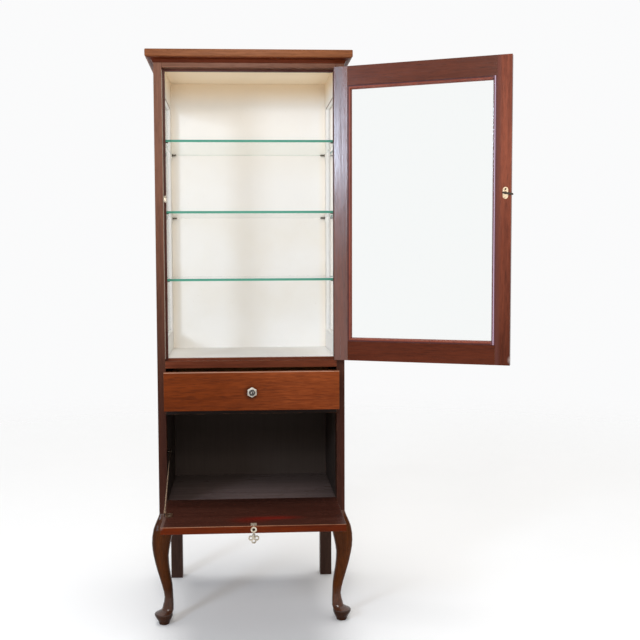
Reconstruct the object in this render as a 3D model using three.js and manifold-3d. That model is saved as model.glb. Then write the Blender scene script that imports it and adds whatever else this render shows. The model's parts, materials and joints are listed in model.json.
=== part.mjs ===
// Glass door medical cabinet: a tall mahogany case on two cabriole front legs and two straight rear
// legs, with a glazed door over glass shelves, one drawer, and a drop-front compartment below.
// The model stands as it is used: door swung open, drawer part way out, flap let down on its stay.

import * as THREE from 'three';
import { mergeVertices } from 'three/addons/utils/BufferGeometryUtils.js';
import ManifoldModule from 'manifold-3d';

// Driving dimensions, in millimetres and degrees. While the case is being built, X runs across it
// from its middle, Y runs back from the front of the posts and Z runs up from the floor.

// Case
const CASE_WIDTH = 508;
const CASE_DEPTH = 380;
const FRONT_POST_WIDTH = 22;
const FRONT_POST_DEPTH = 36;
const POST_ARRIS = 2.5;
const REAR_POST_WIDTH = 35;
const REAR_POST_DEPTH = 34;
const REAR_POST_INSET = 3;
const SIDE_THICKNESS = 15;
const BACK_THICKNESS = 8;
const BACK_RECESS = 6;

// Heights, stacked from the floor
const LEG_HEIGHT = 303;
const LOWER_FLOOR_THICKNESS = 16;
const COMPARTMENT_HEIGHT = 256;
const DRAWER_BOARD_THICKNESS = 21;
const DRAWER_OPENING = 105;
const UPPER_FLOOR_THICKNESS = 19;
const DOOR_OPENING = 783;
const TOP_RAIL_HEIGHT = 25;
const CORNICE_THICKNESS = 19.4;

// Cornice
const CORNICE_OVERHANG = 20.5;
const CORNICE_ARRIS = 1.6;
const BED_HEIGHT = 13;
const BED_PROJECTION = 16;
const BED_FILLET = 2.2;
const BED_FOOT = 1.8;

// Side windows and glass
const SIDE_STILE = 24;
const SIDE_SILL = 61;
const SIDE_HEAD = 86;
const GLASS_THICKNESS = 3;
const SIDE_REBATE = 8;
const SIDE_LIP = 6;
const FIT = 0.3;

// Shelves and their brackets
const SHELF_THICKNESS = 6.4;
const SHELF_SHARES = { bottom: 0.275, middle: 0.51, top: 0.755 };
const SHELF_GAP = 1;
const BRACKET_REACH = 15;
const BRACKET_WIDTH = 12;
const BRACKET_DROP = 12;
const BRACKET_THICKNESS = 1.8;
const BRACKET_FILLET = 4;
const BRACKET_SETBACK = 2;

// Door
const DOOR_THICKNESS = 20;
const DOOR_SIDE_GAP = 1.5;
const DOOR_HEAD_GAP = 2.5;
const DOOR_STILE = 37;
const DOOR_TOP_RAIL = 50;
const DOOR_BOTTOM_RAIL = 51;
const DOOR_LIP = 6;
const DOOR_LIP_THICKNESS = 7;
const BEAD_WIDTH = 10;
const BEAD_SPLAY = 3;
const DOOR_ANGLE = 158;
const STOP_GAP = 1.5;
const STOP_LIP = 6;
const STOP_DEPTH = 11.5;

// Door hinges
const HINGE_HEIGHT = 45;
const HINGE_FROM_END = 63;
const LEAF_WIDTH = 15;
const LEAF_THICKNESS = 1.2;
const LEAF_GAP = 0.3;
const KNUCKLE_RADIUS = 3;
const KNUCKLE_CLEARANCE = 0.9;
const HINGE_PIN_RADIUS = 1.3;
const DOOR_KNUCKLES = 5;

// Door latch
const LATCH_HEIGHT = 435;
const LATCH_BACKSET = 14;
const LATCH_PLATE_WIDTH = 13.5;
const LATCH_PLATE_HEIGHT = 30;
const LATCH_PLATE_THICKNESS = 1.6;
const TONGUE_LONG = 20;
const TONGUE_SHORT = 8;
const TONGUE_DROOP = 10.5;
const TONGUE_WIDTH = 5;
const TONGUE_THICKNESS = 2.6;
const SPINDLE_RADIUS = 3;
const STRIKE_NOTCH = 48;
const STRIKE_MORTISE = 36;
const STRIKE_CLEARANCE = 2;

// Glass knobs
const KNOB_CORNER_RADIUS = 13.5;
const KNOB_FOOT_RADIUS = 9;
const KNOB_NECK_RADIUS = 7.5;
const KNOB_FACE_RADIUS = 9.5;
const KNOB_LENGTH = 25;
const KNOB_NECK_SHARE = 0.28;
const KNOB_WAIST_SHARE = 0.6;
const KNOB_SHOULDER_SHARE = 0.8;
const KNOB_SIDES = 6;
const KNOB_BORE_DEPTH = 16;
const KNOB_BOLT_RADIUS = 2.4;
const ROSE_RADIUS = 9.5;
const ROSE_THICKNESS = 1.6;
const NUT_RADIUS = 6;
const NUT_THICKNESS = 4;

// Drawer
const DRAWER_GAP = 1.5;
const DRAWER_FRONT_THICKNESS = 20;
const DRAWER_LENGTH = 336;
const DRAWER_SIDE_THICKNESS = 12;
const DRAWER_SIDE_DROP = 12;
const DRAWER_BACK_THICKNESS = 10;
const DRAWER_BOTTOM_THICKNESS = 6;
const DRAWER_BOTTOM_LIFT = 8;
const DRAWER_PULL = 83;

// Drop flap and its continuous hinge
const FLAP_THICKNESS = 18.5;
const FLAP_SIDE_GAP = 3.5;
const FLAP_FOOT_GAP = 1;
const FLAP_HEAD_GAP = 2;
const FLAP_ARRIS = 2;
const FLAP_ANGLE = 90;
const FLAP_KNUCKLE_RADIUS = 2.3;
const FLAP_PIN_RADIUS = 1;
const FLAP_HINGE_LENGTH = 440;
const FLAP_KNUCKLES = 11;
const FLAP_LEAF_WIDTH = 14;

// Slotted stay: its pivot on the flap and its pin on the case side lie on one circle round the
// flap's hinge, so the arm always turns half as far as the flap.
const STAY_REACH = 150;
const STAY_LIFT = 8.5;
const STAY_SETBACK = 51;
const STAY_THICKNESS = 2.5;
const STAY_HALF_WIDTH = 6;
const STAY_INSET = 5;
const STAY_PIN_RADIUS = 2.4;
const STAY_SLOT_CLEARANCE = 0.4;
const STAY_SHOULDER_RADIUS = 4.5;
const STAY_ROSE_RADIUS = 8;
const STAY_FOOT_LENGTH = 34;
const STAY_FOOT_WIDTH = 18;
const STAY_FOOT_THICKNESS = 2;
const STAY_FOOT_ROUND = 7.5;

// Flap lock and key
const LOCK_WIDTH = 14.6;
const LOCK_LENGTH = 25;
const LOCK_NOSE = 4;
const LOCK_SKIN = 2.5;
const LOCK_RING_RADIUS = 7.6;
const LOCK_RING_WALL = 3.4;
const LOCK_RING_HEIGHT = 1.2;
const BOLT_RADIUS = 3.2;
const BOLT_LENGTH = 8;
const BOLT_RECESS = 2;
const BOLT_THROW = 8;
const BOLT_CLEARANCE = 1.3;
const KEY_FROM_EDGE = 14;
const KEY_RADIUS = 2.2;
const KEYHOLE_CLEARANCE = 1;
const KEY_STEM = 9;
const KEY_INSERT = 11;
const KEY_COLLAR_RADIUS = 3.7;
const BOW_LOBE_RADIUS = 6.4;
const BOW_HOLE_RADIUS = 3.2;
const BOW_LOBE_OFFSET = 7.2;
const BOW_THICKNESS = 2.8;

// Cabriole legs, by stations from the floor up: share of the leg's height, how far the outer faces
// stand out past the case, width, and how square the section is (2 is round).
const LEG_SPLAY = 16;
const LEG_STATIONS = [
  [0, 3.5, 27.5, 2],
  [0.023, 5.4, 31.4, 2],
  [0.045, 9.6, 39.5, 2],
  [0.069, 13.8, 46.5, 2],
  [0.088, 15.9, 49.6, 2],
  [0.098, 14.6, 48, 2],
  [0.117, -2.6, 32.6, 2],
  [0.148, -5.6, 29.8, 2],
  [0.225, -10.4, 24, 2.3],
  [0.34, -4, 28.8, 2.5],
  [0.48, 7, 34, 2.6],
  [0.62, 16.2, 40.6, 2.8],
  [0.74, 20.6, 50.6, 3],
  [0.86, 16.6, 55, 4],
  [0.95, 5, 49, 8],
  [1, 0, 46, 12],
];

// Places that several pieces share
const HALF = CASE_WIDTH / 2;
const POST_INNER = HALF - FRONT_POST_WIDTH;
const SIDE_OUTER = HALF - REAR_POST_INSET;
const SIDE_INNER = SIDE_OUTER - SIDE_THICKNESS;
const REAR_INNER = SIDE_OUTER - REAR_POST_WIDTH;
const REAR_FRONT = CASE_DEPTH - REAR_POST_DEPTH;
const BACK_REAR = CASE_DEPTH - BACK_RECESS;
const BACK_FRONT = BACK_REAR - BACK_THICKNESS;
const STOP_FRONT = DOOR_THICKNESS + STOP_GAP;
const STOP_BACK = STOP_FRONT + STOP_DEPTH;
const STOP_EDGE = POST_INNER - STOP_LIP;

const LOWER_FLOOR_TOP = LEG_HEIGHT + LOWER_FLOOR_THICKNESS;
const DRAWER_BOARD_BOTTOM = LOWER_FLOOR_TOP + COMPARTMENT_HEIGHT;
const DRAWER_BOARD_TOP = DRAWER_BOARD_BOTTOM + DRAWER_BOARD_THICKNESS;
const UPPER_FLOOR_BOTTOM = DRAWER_BOARD_TOP + DRAWER_OPENING;
const UPPER_FLOOR_TOP = UPPER_FLOOR_BOTTOM + UPPER_FLOOR_THICKNESS;
const TOP_RAIL_BOTTOM = UPPER_FLOOR_TOP + DOOR_OPENING;
const CEILING = TOP_RAIL_BOTTOM + TOP_RAIL_HEIGHT;

const DOOR_BOTTOM = UPPER_FLOOR_TOP + DOOR_HEAD_GAP;
const DOOR_TOP = TOP_RAIL_BOTTOM - DOOR_HEAD_GAP;
const DOOR_EDGE = POST_INNER - DOOR_SIDE_GAP;
const HINGE_X = POST_INNER - DOOR_SIDE_GAP / 2;
const HINGE_Y = -KNUCKLE_RADIUS - KNUCKLE_CLEARANCE;
const HINGE_BASES = {
  lower: DOOR_BOTTOM + HINGE_FROM_END,
  upper: DOOR_TOP - HINGE_FROM_END - HINGE_HEIGHT,
};
const LATCH_X = -DOOR_EDGE + LATCH_BACKSET;
const LATCH_Z = DOOR_BOTTOM + LATCH_HEIGHT;
const TONGUE_FRONT = DOOR_THICKNESS + LATCH_PLATE_THICKNESS + 2 * FIT;

const FLAP_BOTTOM = LOWER_FLOOR_TOP + FLAP_FOOT_GAP;
const FLAP_TOP = DRAWER_BOARD_BOTTOM - FLAP_HEAD_GAP;
const FLAP_HALF = POST_INNER - FLAP_SIDE_GAP;
const FLAP_AXIS_Y = -FLAP_KNUCKLE_RADIUS - KNUCKLE_CLEARANCE;
const FLAP_AXIS_Z = LOWER_FLOOR_TOP + FLAP_FOOT_GAP / 2;
const LOCK_Y = FLAP_THICKNESS / 2;
const KEY_Z = FLAP_TOP - KEY_FROM_EDGE;
const BOLT_BASE = FLAP_TOP - BOLT_RECESS - BOLT_LENGTH;

const ROUND_STEPS = 16;
const ARC_STEPS = 4;
const LEG_RINGS = 2 * (LEG_STATIONS.length - 1);
const LEG_RING_POINTS = 24;

// Solids and cuts

const wasm = await ManifoldModule();
wasm.setup();

function toSolid(geometry) {
  const bare = geometry.clone();
  bare.deleteAttribute('normal');
  bare.deleteAttribute('uv');
  const merged = mergeVertices(bare, 1e-4);
  const vertProperties = new Float32Array(merged.attributes.position.array);
  const triVerts = new Uint32Array(merged.index.array);
  return new wasm.Manifold(new wasm.Mesh({ numProp: 3, vertProperties, triVerts }));
}

function toGeometry(solid) {
  const mesh = solid.getMesh();
  const geometry = new THREE.BufferGeometry();
  geometry.setAttribute('position', new THREE.BufferAttribute(new Float32Array(mesh.vertProperties), 3));
  geometry.setIndex(new THREE.BufferAttribute(new Uint32Array(mesh.triVerts), 1));
  geometry.computeVertexNormals();
  return geometry;
}

function join(...geometries) {
  return toGeometry(geometries.map(toSolid).reduce((whole, piece) => whole.add(piece)));
}

function cut(geometry, ...tools) {
  return toGeometry(tools.map(toSolid).reduce((whole, tool) => whole.subtract(tool), toSolid(geometry)));
}

// Shapes

function box(xa, xb, ya, yb, za, zb) {
  const geometry = new THREE.BoxGeometry(Math.abs(xb - xa), Math.abs(yb - ya), Math.abs(zb - za));
  return geometry.translate((xa + xb) / 2, (ya + yb) / 2, (za + zb) / 2);
}

const ALONG_X = new THREE.Matrix4().makeBasis(
  new THREE.Vector3(0, 1, 0), new THREE.Vector3(0, 0, 1), new THREE.Vector3(1, 0, 0));
const ALONG_Y = new THREE.Matrix4().makeBasis(
  new THREE.Vector3(0, 0, 1), new THREE.Vector3(1, 0, 0), new THREE.Vector3(0, 1, 0));

function extrude(shape, length) {
  return new THREE.ExtrudeGeometry(shape, { depth: length, bevelEnabled: false, curveSegments: ARC_STEPS });
}

// An outline in X and Y, raised from za to zb.
function prismZ(shape, za, zb) {
  return extrude(shape, zb - za).translate(0, 0, za);
}

// An outline in Y and Z, run from xa to xb.
function prismX(shape, xa, xb) {
  return extrude(shape, xb - xa).applyMatrix4(ALONG_X).translate(xa, 0, 0);
}

// An outline in Z and X, run from ya to yb.
function prismY(shape, ya, yb) {
  return extrude(shape, yb - ya).applyMatrix4(ALONG_Y).translate(0, ya, 0);
}

function polygon(points) {
  return new THREE.Shape(points.map(([u, v]) => new THREE.Vector2(u, v)));
}

function disc(u, v, radius, bore = 0) {
  const shape = new THREE.Shape(ringPoints(u, v, radius));
  if (bore > 0) {
    shape.holes.push(new THREE.Path(ringPoints(u, v, bore).reverse()));
  }
  return shape;
}

function ringPoints(u, v, radius) {
  return Array.from({ length: ROUND_STEPS }, (_, i) => {
    const angle = (i / ROUND_STEPS) * 2 * Math.PI;
    return new THREE.Vector2(u + radius * Math.cos(angle), v + radius * Math.sin(angle));
  });
}

// A rectangle whose corners are rounded, each by its own radius, from the low corner anticlockwise.
function roundedRectangle(ua, ub, va, vb, [r0, r1, r2, r3]) {
  const shape = new THREE.Shape();
  shape.moveTo(ua + r0, va);
  shape.lineTo(ub - r1, va);
  shape.absarc(ub - r1, va + r1, r1, -Math.PI / 2, 0);
  shape.lineTo(ub, vb - r2);
  shape.absarc(ub - r2, vb - r2, r2, 0, Math.PI / 2);
  shape.lineTo(ua + r3, vb);
  shape.absarc(ua + r3, vb - r3, r3, Math.PI / 2, Math.PI);
  shape.lineTo(ua, va + r0);
  shape.absarc(ua + r0, va + r0, r0, Math.PI, 1.5 * Math.PI);
  return shape;
}

// A slot or a bar with round ends, between two points.
function stadium(from, to, radius) {
  const angle = Math.atan2(to.y - from.y, to.x - from.x);
  const shape = new THREE.Shape();
  shape.absarc(to.x, to.y, radius, angle - Math.PI / 2, angle + Math.PI / 2);
  shape.absarc(from.x, from.y, radius, angle + Math.PI / 2, angle + 1.5 * Math.PI);
  return shape;
}

// A skin over a stack of rings, lowest first, each ring running anticlockwise seen from above.
function loft(rings) {
  const count = rings[0].length;
  const vertices = rings.flat();
  const indices = [];
  for (let level = 0; level + 1 < rings.length; level += 1) {
    for (let i = 0; i < count; i += 1) {
      const a = level * count + i;
      const b = level * count + ((i + 1) % count);
      indices.push(a, b, b + count, a, b + count, a + count);
    }
  }
  const top = (rings.length - 1) * count;
  for (let i = 1; i + 1 < count; i += 1) {
    indices.push(0, i + 1, i);
    indices.push(top, top + i, top + i + 1);
  }
  const geometry = new THREE.BufferGeometry().setFromPoints(vertices);
  geometry.setIndex(indices);
  geometry.computeVertexNormals();
  return geometry;
}

// A turned solid on the Y axis, from a profile of [radius, height] pairs.
function turned(profile, steps = ROUND_STEPS) {
  return new THREE.LatheGeometry(profile.map(([r, h]) => new THREE.Vector2(r, h)), steps);
}

// Materials

function finish(color, roughness, metalness = 0, opacity = 1) {
  return new THREE.MeshStandardMaterial({ color, roughness, metalness, opacity, transparent: opacity < 1 });
}

const mahogany = () => finish(0x5a2e1e, 0.35);
const mahoganyRed = () => finish(0x73320f, 0.35);
const creamPaint = () => finish(0xf1eadb, 0.6);
const darkWood = () => finish(0x2a2019, 0.6);
const plainWood = () => finish(0x9a7448, 0.7);
const glass = () => finish(0xe6f2ee, 0.05, 0, 0.25);
const crystal = () => finish(0xdfe6e4, 0.05, 0, 0.4);
const brass = () => finish(0xc9a868, 0.35, 1);
const steel = () => finish(0x5b5750, 0.45, 1);

const cabinet = new THREE.Group();

function add(group, name, geometry, material) {
  const mesh = new THREE.Mesh(geometry, material);
  mesh.name = name;
  group.add(mesh);
}

const SIDES = [['left', -1], ['right', 1]];

// Cornice: a board with a bed moulding under its front and ends

function cornice() {
  const level = (overhang, z) => [
    new THREE.Vector3(-HALF - overhang, -overhang, z),
    new THREE.Vector3(HALF + overhang, -overhang, z),
    new THREE.Vector3(HALF + overhang, CASE_DEPTH, z),
    new THREE.Vector3(-HALF - overhang, CASE_DEPTH, z),
  ];
  const top = CEILING + CORNICE_THICKNESS;
  const board = loft([
    level(CORNICE_OVERHANG - CORNICE_ARRIS, CEILING),
    level(CORNICE_OVERHANG, CEILING + CORNICE_ARRIS),
    level(CORNICE_OVERHANG, top - CORNICE_ARRIS),
    level(CORNICE_OVERHANG - CORNICE_ARRIS, top),
  ]);
  const hollow = BED_PROJECTION - BED_FOOT;
  const rise = BED_HEIGHT - BED_FILLET;
  const cove = Array.from({ length: ARC_STEPS + 1 }, (_, i) => {
    const angle = (i / ARC_STEPS) * (Math.PI / 2);
    const z = CEILING - BED_HEIGHT + rise * Math.sin(angle);
    return level(BED_FOOT + hollow * (1 - Math.cos(angle)), z);
  });
  const bed = cut(
    loft([...cove, level(BED_PROJECTION, CEILING)]),
    box(-HALF, HALF, 0, FRONT_POST_DEPTH, CEILING - 2 * BED_HEIGHT, CEILING + BED_HEIGHT),
    box(-SIDE_OUTER, SIDE_OUTER, 0, 2 * CASE_DEPTH, CEILING - 2 * BED_HEIGHT, CEILING + BED_HEIGHT));
  return join(board, bed);
}

// Front posts carry the door stop as a lip, and the post on the latch side is cut for the tongue.

function leafMortise(z, xa, xb) {
  return box(xa, xb, -FIT, LEAF_WIDTH + FIT, z - FIT, z + HINGE_HEIGHT + FIT);
}

function frontPost(side) {
  const arris = POST_ARRIS;
  const corners = side < 0 ? [arris, FIT, FIT, FIT] : [FIT, arris, FIT, FIT];
  const span = side < 0 ? [-HALF, -POST_INNER] : [POST_INNER, HALF];
  const shaft = prismZ(roundedRectangle(...span, 0, FRONT_POST_DEPTH, corners), LEG_HEIGHT, CEILING);
  const lip = box(side * STOP_EDGE, side * (POST_INNER + FIT), STOP_FRONT, STOP_BACK,
    UPPER_FLOOR_TOP, TOP_RAIL_BOTTOM);
  const post = join(shaft, lip);
  if (side > 0) {
    const depth = POST_INNER + LEAF_THICKNESS + LEAF_GAP;
    return cut(post, ...Object.values(HINGE_BASES).map((z) => leafMortise(z, STOP_EDGE, depth)));
  }
  const back = TONGUE_FRONT + TONGUE_THICKNESS + STRIKE_CLEARANCE;
  const reach = TONGUE_LONG - LATCH_BACKSET + STRIKE_CLEARANCE;
  return cut(post,
    box(-POST_INNER, -STOP_EDGE + FIT, STOP_FRONT - FIT, back,
      LATCH_Z - STRIKE_NOTCH / 2, LATCH_Z + STRIKE_NOTCH / 2),
    box(-DOOR_EDGE - reach, -POST_INNER + FIT, TONGUE_FRONT - FIT, back,
      LATCH_Z - STRIKE_MORTISE / 2, LATCH_Z + STRIKE_MORTISE / 2));
}

// Boards that run between the posts and stop against the back panel

function boardOutline() {
  const right = [
    [POST_INNER, 0], [POST_INNER, FRONT_POST_DEPTH], [SIDE_INNER, FRONT_POST_DEPTH],
    [SIDE_INNER, BACK_FRONT],
  ];
  const left = right.map(([x, y]) => [-x, y]).reverse();
  return polygon([...right, ...left]);
}

function lowerFloor() {
  const board = prismZ(boardOutline(), LEG_HEIGHT, LOWER_FLOOR_TOP);
  const half = FLAP_HINGE_LENGTH / 2 + FIT;
  const low = FLAP_AXIS_Z - LEAF_GAP - LEAF_THICKNESS - FIT;
  return cut(board, box(-half, half, -FIT, FLAP_LEAF_WIDTH + FIT, low, LOWER_FLOOR_TOP + FIT));
}

function drawerBoard() {
  const board = prismZ(boardOutline(), DRAWER_BOARD_BOTTOM, DRAWER_BOARD_TOP);
  const mortise = BOLT_RADIUS + BOLT_CLEARANCE;
  return cut(board, box(-mortise, mortise, LOCK_Y - mortise, LOCK_Y + mortise,
    DRAWER_BOARD_BOTTOM - FIT, DRAWER_BOARD_BOTTOM + BOLT_THROW + FIT));
}

function upperFloor() {
  const board = prismZ(boardOutline(), UPPER_FLOOR_BOTTOM, UPPER_FLOOR_TOP);
  const stop = box(-STOP_EDGE, STOP_EDGE, STOP_FRONT, STOP_BACK,
    UPPER_FLOOR_TOP - FIT, UPPER_FLOOR_TOP + STOP_LIP);
  return join(board, stop);
}

function topRail() {
  const rail = box(-POST_INNER, POST_INNER, 0, STOP_BACK, TOP_RAIL_BOTTOM, CEILING);
  const stop = box(-STOP_EDGE, STOP_EDGE, STOP_FRONT, STOP_BACK,
    TOP_RAIL_BOTTOM - STOP_LIP, TOP_RAIL_BOTTOM + FIT);
  return join(rail, stop);
}

// Side panels, each with a window rebated from the inside

const WINDOW = {
  front: FRONT_POST_DEPTH + SIDE_STILE,
  rear: REAR_FRONT - SIDE_STILE,
  low: UPPER_FLOOR_TOP + SIDE_SILL,
  high: CEILING - SIDE_HEAD,
};

function windowBox(side, xa, xb, grow) {
  return box(side * xa, side * xb, WINDOW.front - grow, WINDOW.rear + grow,
    WINDOW.low - grow, WINDOW.high + grow);
}

function sidePanel(side) {
  const panel = box(side * SIDE_INNER, side * SIDE_OUTER, FRONT_POST_DEPTH, REAR_FRONT, LEG_HEIGHT, CEILING);
  const rebateFloor = SIDE_OUTER - SIDE_LIP;
  return cut(panel,
    windowBox(side, SIDE_INNER - FIT, SIDE_OUTER + FIT, 0),
    windowBox(side, SIDE_INNER - FIT, rebateFloor, SIDE_REBATE));
}

function sideGlass(side) {
  const outer = SIDE_OUTER - SIDE_LIP;
  return windowBox(side, outer - GLASS_THICKNESS, outer, SIDE_REBATE - FIT);
}

// Shelf brackets: small angle irons with a rounded inner corner

function bracket(side, y, z) {
  const wall = SIDE_INNER;
  const inner = wall - BRACKET_THICKNESS;
  const under = z - BRACKET_THICKNESS;
  const shape = new THREE.Shape();
  shape.moveTo(z, wall);
  shape.lineTo(z - BRACKET_DROP, wall);
  shape.lineTo(z - BRACKET_DROP, inner);
  shape.lineTo(under - BRACKET_FILLET, inner);
  shape.absarc(under - BRACKET_FILLET, inner - BRACKET_FILLET, BRACKET_FILLET, Math.PI / 2, 0, true);
  shape.lineTo(under, wall - BRACKET_REACH);
  shape.lineTo(z, wall - BRACKET_REACH);
  const geometry = prismY(shape, y - BRACKET_WIDTH / 2, y + BRACKET_WIDTH / 2);
  return side > 0 ? geometry : geometry.rotateZ(Math.PI).translate(0, 2 * y, 0);
}

// Cabriole leg: rounded square sections that swing out at the knee, in at the ankle and out again
// to a pad foot, along a smooth curve through the stations.

function cabrioleLeg(side) {
  const shape = new THREE.CatmullRomCurve3(
    LEG_STATIONS.map(([share, out, width]) => new THREE.Vector3(out, width, share * LEG_HEIGHT)));
  const squareness = (height) => {
    const share = THREE.MathUtils.clamp(height, 0, 1);
    const next = Math.max(1, LEG_STATIONS.findIndex(([above]) => above >= share));
    const [low, , , from] = LEG_STATIONS[next - 1];
    const [high, , , to] = LEG_STATIONS[next];
    return THREE.MathUtils.mapLinear(share, low, high, from, to);
  };
  const rings = shape.getPoints(LEG_RINGS).map(({ x: out, y: width, z }) => {
    const half = width / 2;
    const share = z / LEG_HEIGHT;
    const bend = (value) => Math.sign(value) * Math.abs(value) ** (2 / squareness(share));
    const x = side * (HALF + out - half);
    const y = half - out - LEG_SPLAY * (1 - share);
    return Array.from({ length: LEG_RING_POINTS }, (_, i) => {
      const angle = (i / LEG_RING_POINTS) * 2 * Math.PI;
      return new THREE.Vector3(x + half * bend(Math.cos(angle)), y + half * bend(Math.sin(angle)), z);
    });
  });
  return loft(rings);
}

// Rear post: a leg under the case, and a stile as thick as the sides above it
function rearPost(side) {
  return join(
    box(side * REAR_INNER, side * SIDE_OUTER, REAR_FRONT, CASE_DEPTH, 0, LEG_HEIGHT),
    box(side * SIDE_INNER, side * SIDE_OUTER, REAR_FRONT, CASE_DEPTH, 0, CEILING));
}

function buildCase() {
  add(cabinet, 'cornice_top', cornice(), mahogany());
  add(cabinet, 'top_rail', topRail(), mahogany());
  add(cabinet, 'upper_floor', upperFloor(), creamPaint());
  add(cabinet, 'drawer_board', drawerBoard(), darkWood());
  add(cabinet, 'lower_floor', lowerFloor(), darkWood());
  const back = box(-SIDE_INNER, SIDE_INNER, BACK_FRONT, BACK_REAR, LEG_HEIGHT, CEILING);
  add(cabinet, 'back_panel', back, creamPaint());
  for (const [name, side] of SIDES) {
    add(cabinet, `front_post_${name}`, frontPost(side), mahogany());
    add(cabinet, `rear_post_${name}`, rearPost(side), mahogany());
    add(cabinet, `front_leg_${name}`, cabrioleLeg(side), mahogany());
    add(cabinet, `side_panel_${name}`, sidePanel(side), mahogany());
    add(cabinet, `side_glass_${name}`, sideGlass(side), glass());
  }
}

function buildShelves() {
  const front = Math.max(FRONT_POST_DEPTH, STOP_BACK) + BRACKET_SETBACK + BRACKET_WIDTH / 2;
  const rear = BACK_FRONT - BRACKET_SETBACK - BRACKET_WIDTH / 2;
  const half = SIDE_INNER - SHELF_GAP;
  const shelfFront = Math.max(FRONT_POST_DEPTH, STOP_BACK) + SHELF_GAP;
  for (const [level, share] of Object.entries(SHELF_SHARES)) {
    const z = UPPER_FLOOR_TOP + share * DOOR_OPENING;
    const shelf = box(-half, half, shelfFront, BACK_FRONT - SHELF_GAP, z, z + SHELF_THICKNESS);
    add(cabinet, `shelf_${level}`, shelf, glass());
    for (const [name, side] of SIDES) {
      add(cabinet, `bracket_${level}_front_${name}`, bracket(side, front, z), steel());
      add(cabinet, `bracket_${level}_rear_${name}`, bracket(side, rear, z), steel());
    }
  }
}

// Hinges: knuckles alternate between the two leaves, and the pin belongs to the fixed leaf.

function knuckleSpans(length, count) {
  const pitch = length / count;
  return Array.from({ length: count }, (_, i) => {
    return { owner: i % 2, from: i * pitch + FIT / 2, to: (i + 1) * pitch - FIT / 2 };
  });
}

function doorHingeLeaf(owner, base) {
  const outward = owner === 0 ? 1 : -1;
  const near = HINGE_X + outward * (LEAF_GAP / 2);
  const far = near + outward * LEAF_THICKNESS;
  const bore = owner === 0 ? 0 : HINGE_PIN_RADIUS + FIT;
  const pieces = [box(near, far, -KNUCKLE_CLEARANCE / 2, LEAF_WIDTH, base, base + HINGE_HEIGHT)];
  const spans = knuckleSpans(HINGE_HEIGHT, DOOR_KNUCKLES).filter((span) => span.owner === owner);
  for (const { from, to } of spans) {
    const knuckle = prismZ(disc(HINGE_X, HINGE_Y, KNUCKLE_RADIUS, bore), base + from, base + to);
    const tail = box(near, far + outward * bore, HINGE_Y + bore, -KNUCKLE_CLEARANCE / 3,
      base + from, base + to);
    pieces.push(knuckle, tail);
  }
  if (owner === 0) {
    pieces.push(prismZ(disc(HINGE_X, HINGE_Y, HINGE_PIN_RADIUS), base + FIT, base + HINGE_HEIGHT - FIT));
  }
  return join(...pieces);
}

function flapHingeLeaf(owner) {
  const upward = owner === 0 ? -1 : 1;
  const near = FLAP_AXIS_Z + upward * (LEAF_GAP / 2);
  const far = near + upward * LEAF_THICKNESS;
  const bore = owner === 0 ? 0 : FLAP_PIN_RADIUS + FIT;
  const start = -FLAP_HINGE_LENGTH / 2;
  const pieces = [box(start, -start, -KNUCKLE_CLEARANCE / 2, FLAP_LEAF_WIDTH, near, far)];
  const spans = knuckleSpans(FLAP_HINGE_LENGTH, FLAP_KNUCKLES).filter((span) => span.owner === owner);
  for (const { from, to } of spans) {
    const ring = disc(FLAP_AXIS_Y, FLAP_AXIS_Z, FLAP_KNUCKLE_RADIUS, bore);
    const tail = box(start + from, start + to, FLAP_AXIS_Y + bore, -KNUCKLE_CLEARANCE / 3,
      near, far + upward * bore);
    pieces.push(prismX(ring, start + from, start + to), tail);
  }
  if (owner === 0) {
    pieces.push(prismX(disc(FLAP_AXIS_Y, FLAP_AXIS_Z, FLAP_PIN_RADIUS), start + FIT, -start - FIT));
  }
  return join(...pieces);
}

// A group that turns about an axis through the given point, holding pieces in the case's own frame.
function swung(x, y, z, axis, degrees) {
  const pivot = new THREE.Group();
  pivot.position.set(x, y, z);
  pivot.rotation[axis] = THREE.MathUtils.degToRad(degrees);
  const held = new THREE.Group();
  held.position.set(-x, -y, -z);
  pivot.add(held);
  cabinet.add(pivot);
  return held;
}

// Six-sided glass knob, bored for its bolt, standing out along -Y from the given face

function glassKnob(x, y, z) {
  const bore = (KNOB_BOLT_RADIUS + FIT) / Math.cos(Math.PI / KNOB_SIDES);
  const profile = [
    [0, KNOB_BORE_DEPTH],
    [bore, KNOB_BORE_DEPTH],
    [bore, 0],
    [KNOB_FOOT_RADIUS, 0],
    [KNOB_NECK_RADIUS, KNOB_LENGTH * KNOB_NECK_SHARE],
    [KNOB_CORNER_RADIUS, KNOB_LENGTH * KNOB_WAIST_SHARE],
    [KNOB_CORNER_RADIUS, KNOB_LENGTH * KNOB_SHOULDER_SHARE],
    [KNOB_FACE_RADIUS, KNOB_LENGTH],
    [0, KNOB_LENGTH],
  ];
  return turned(profile, KNOB_SIDES).rotateX(Math.PI).translate(x, y, z);
}

// Bolt of the drawer knob, with its rose in front of the board and its nut sunk into the back
function knobBolt(x, z) {
  const back = DRAWER_FRONT_THICKNESS;
  const tip = -ROSE_THICKNESS - KNOB_BORE_DEPTH + FIT;
  return join(
    prismY(disc(z, x, KNOB_BOLT_RADIUS), tip, back),
    prismY(disc(z, x, ROSE_RADIUS), -ROSE_THICKNESS, 0),
    prismY(disc(z, x, NUT_RADIUS), back - NUT_THICKNESS, back));
}

// Door

function doorStile(xOuter, xInner) {
  const towards = Math.sign(xInner - xOuter);
  const lip = xInner + towards * DOOR_LIP;
  const outline = polygon([
    [xOuter, 0], [lip, 0], [lip, DOOR_LIP_THICKNESS], [xInner, DOOR_LIP_THICKNESS],
    [xInner, DOOR_THICKNESS], [xOuter, DOOR_THICKNESS],
  ]);
  return prismZ(outline, DOOR_BOTTOM, DOOR_TOP);
}

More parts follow.
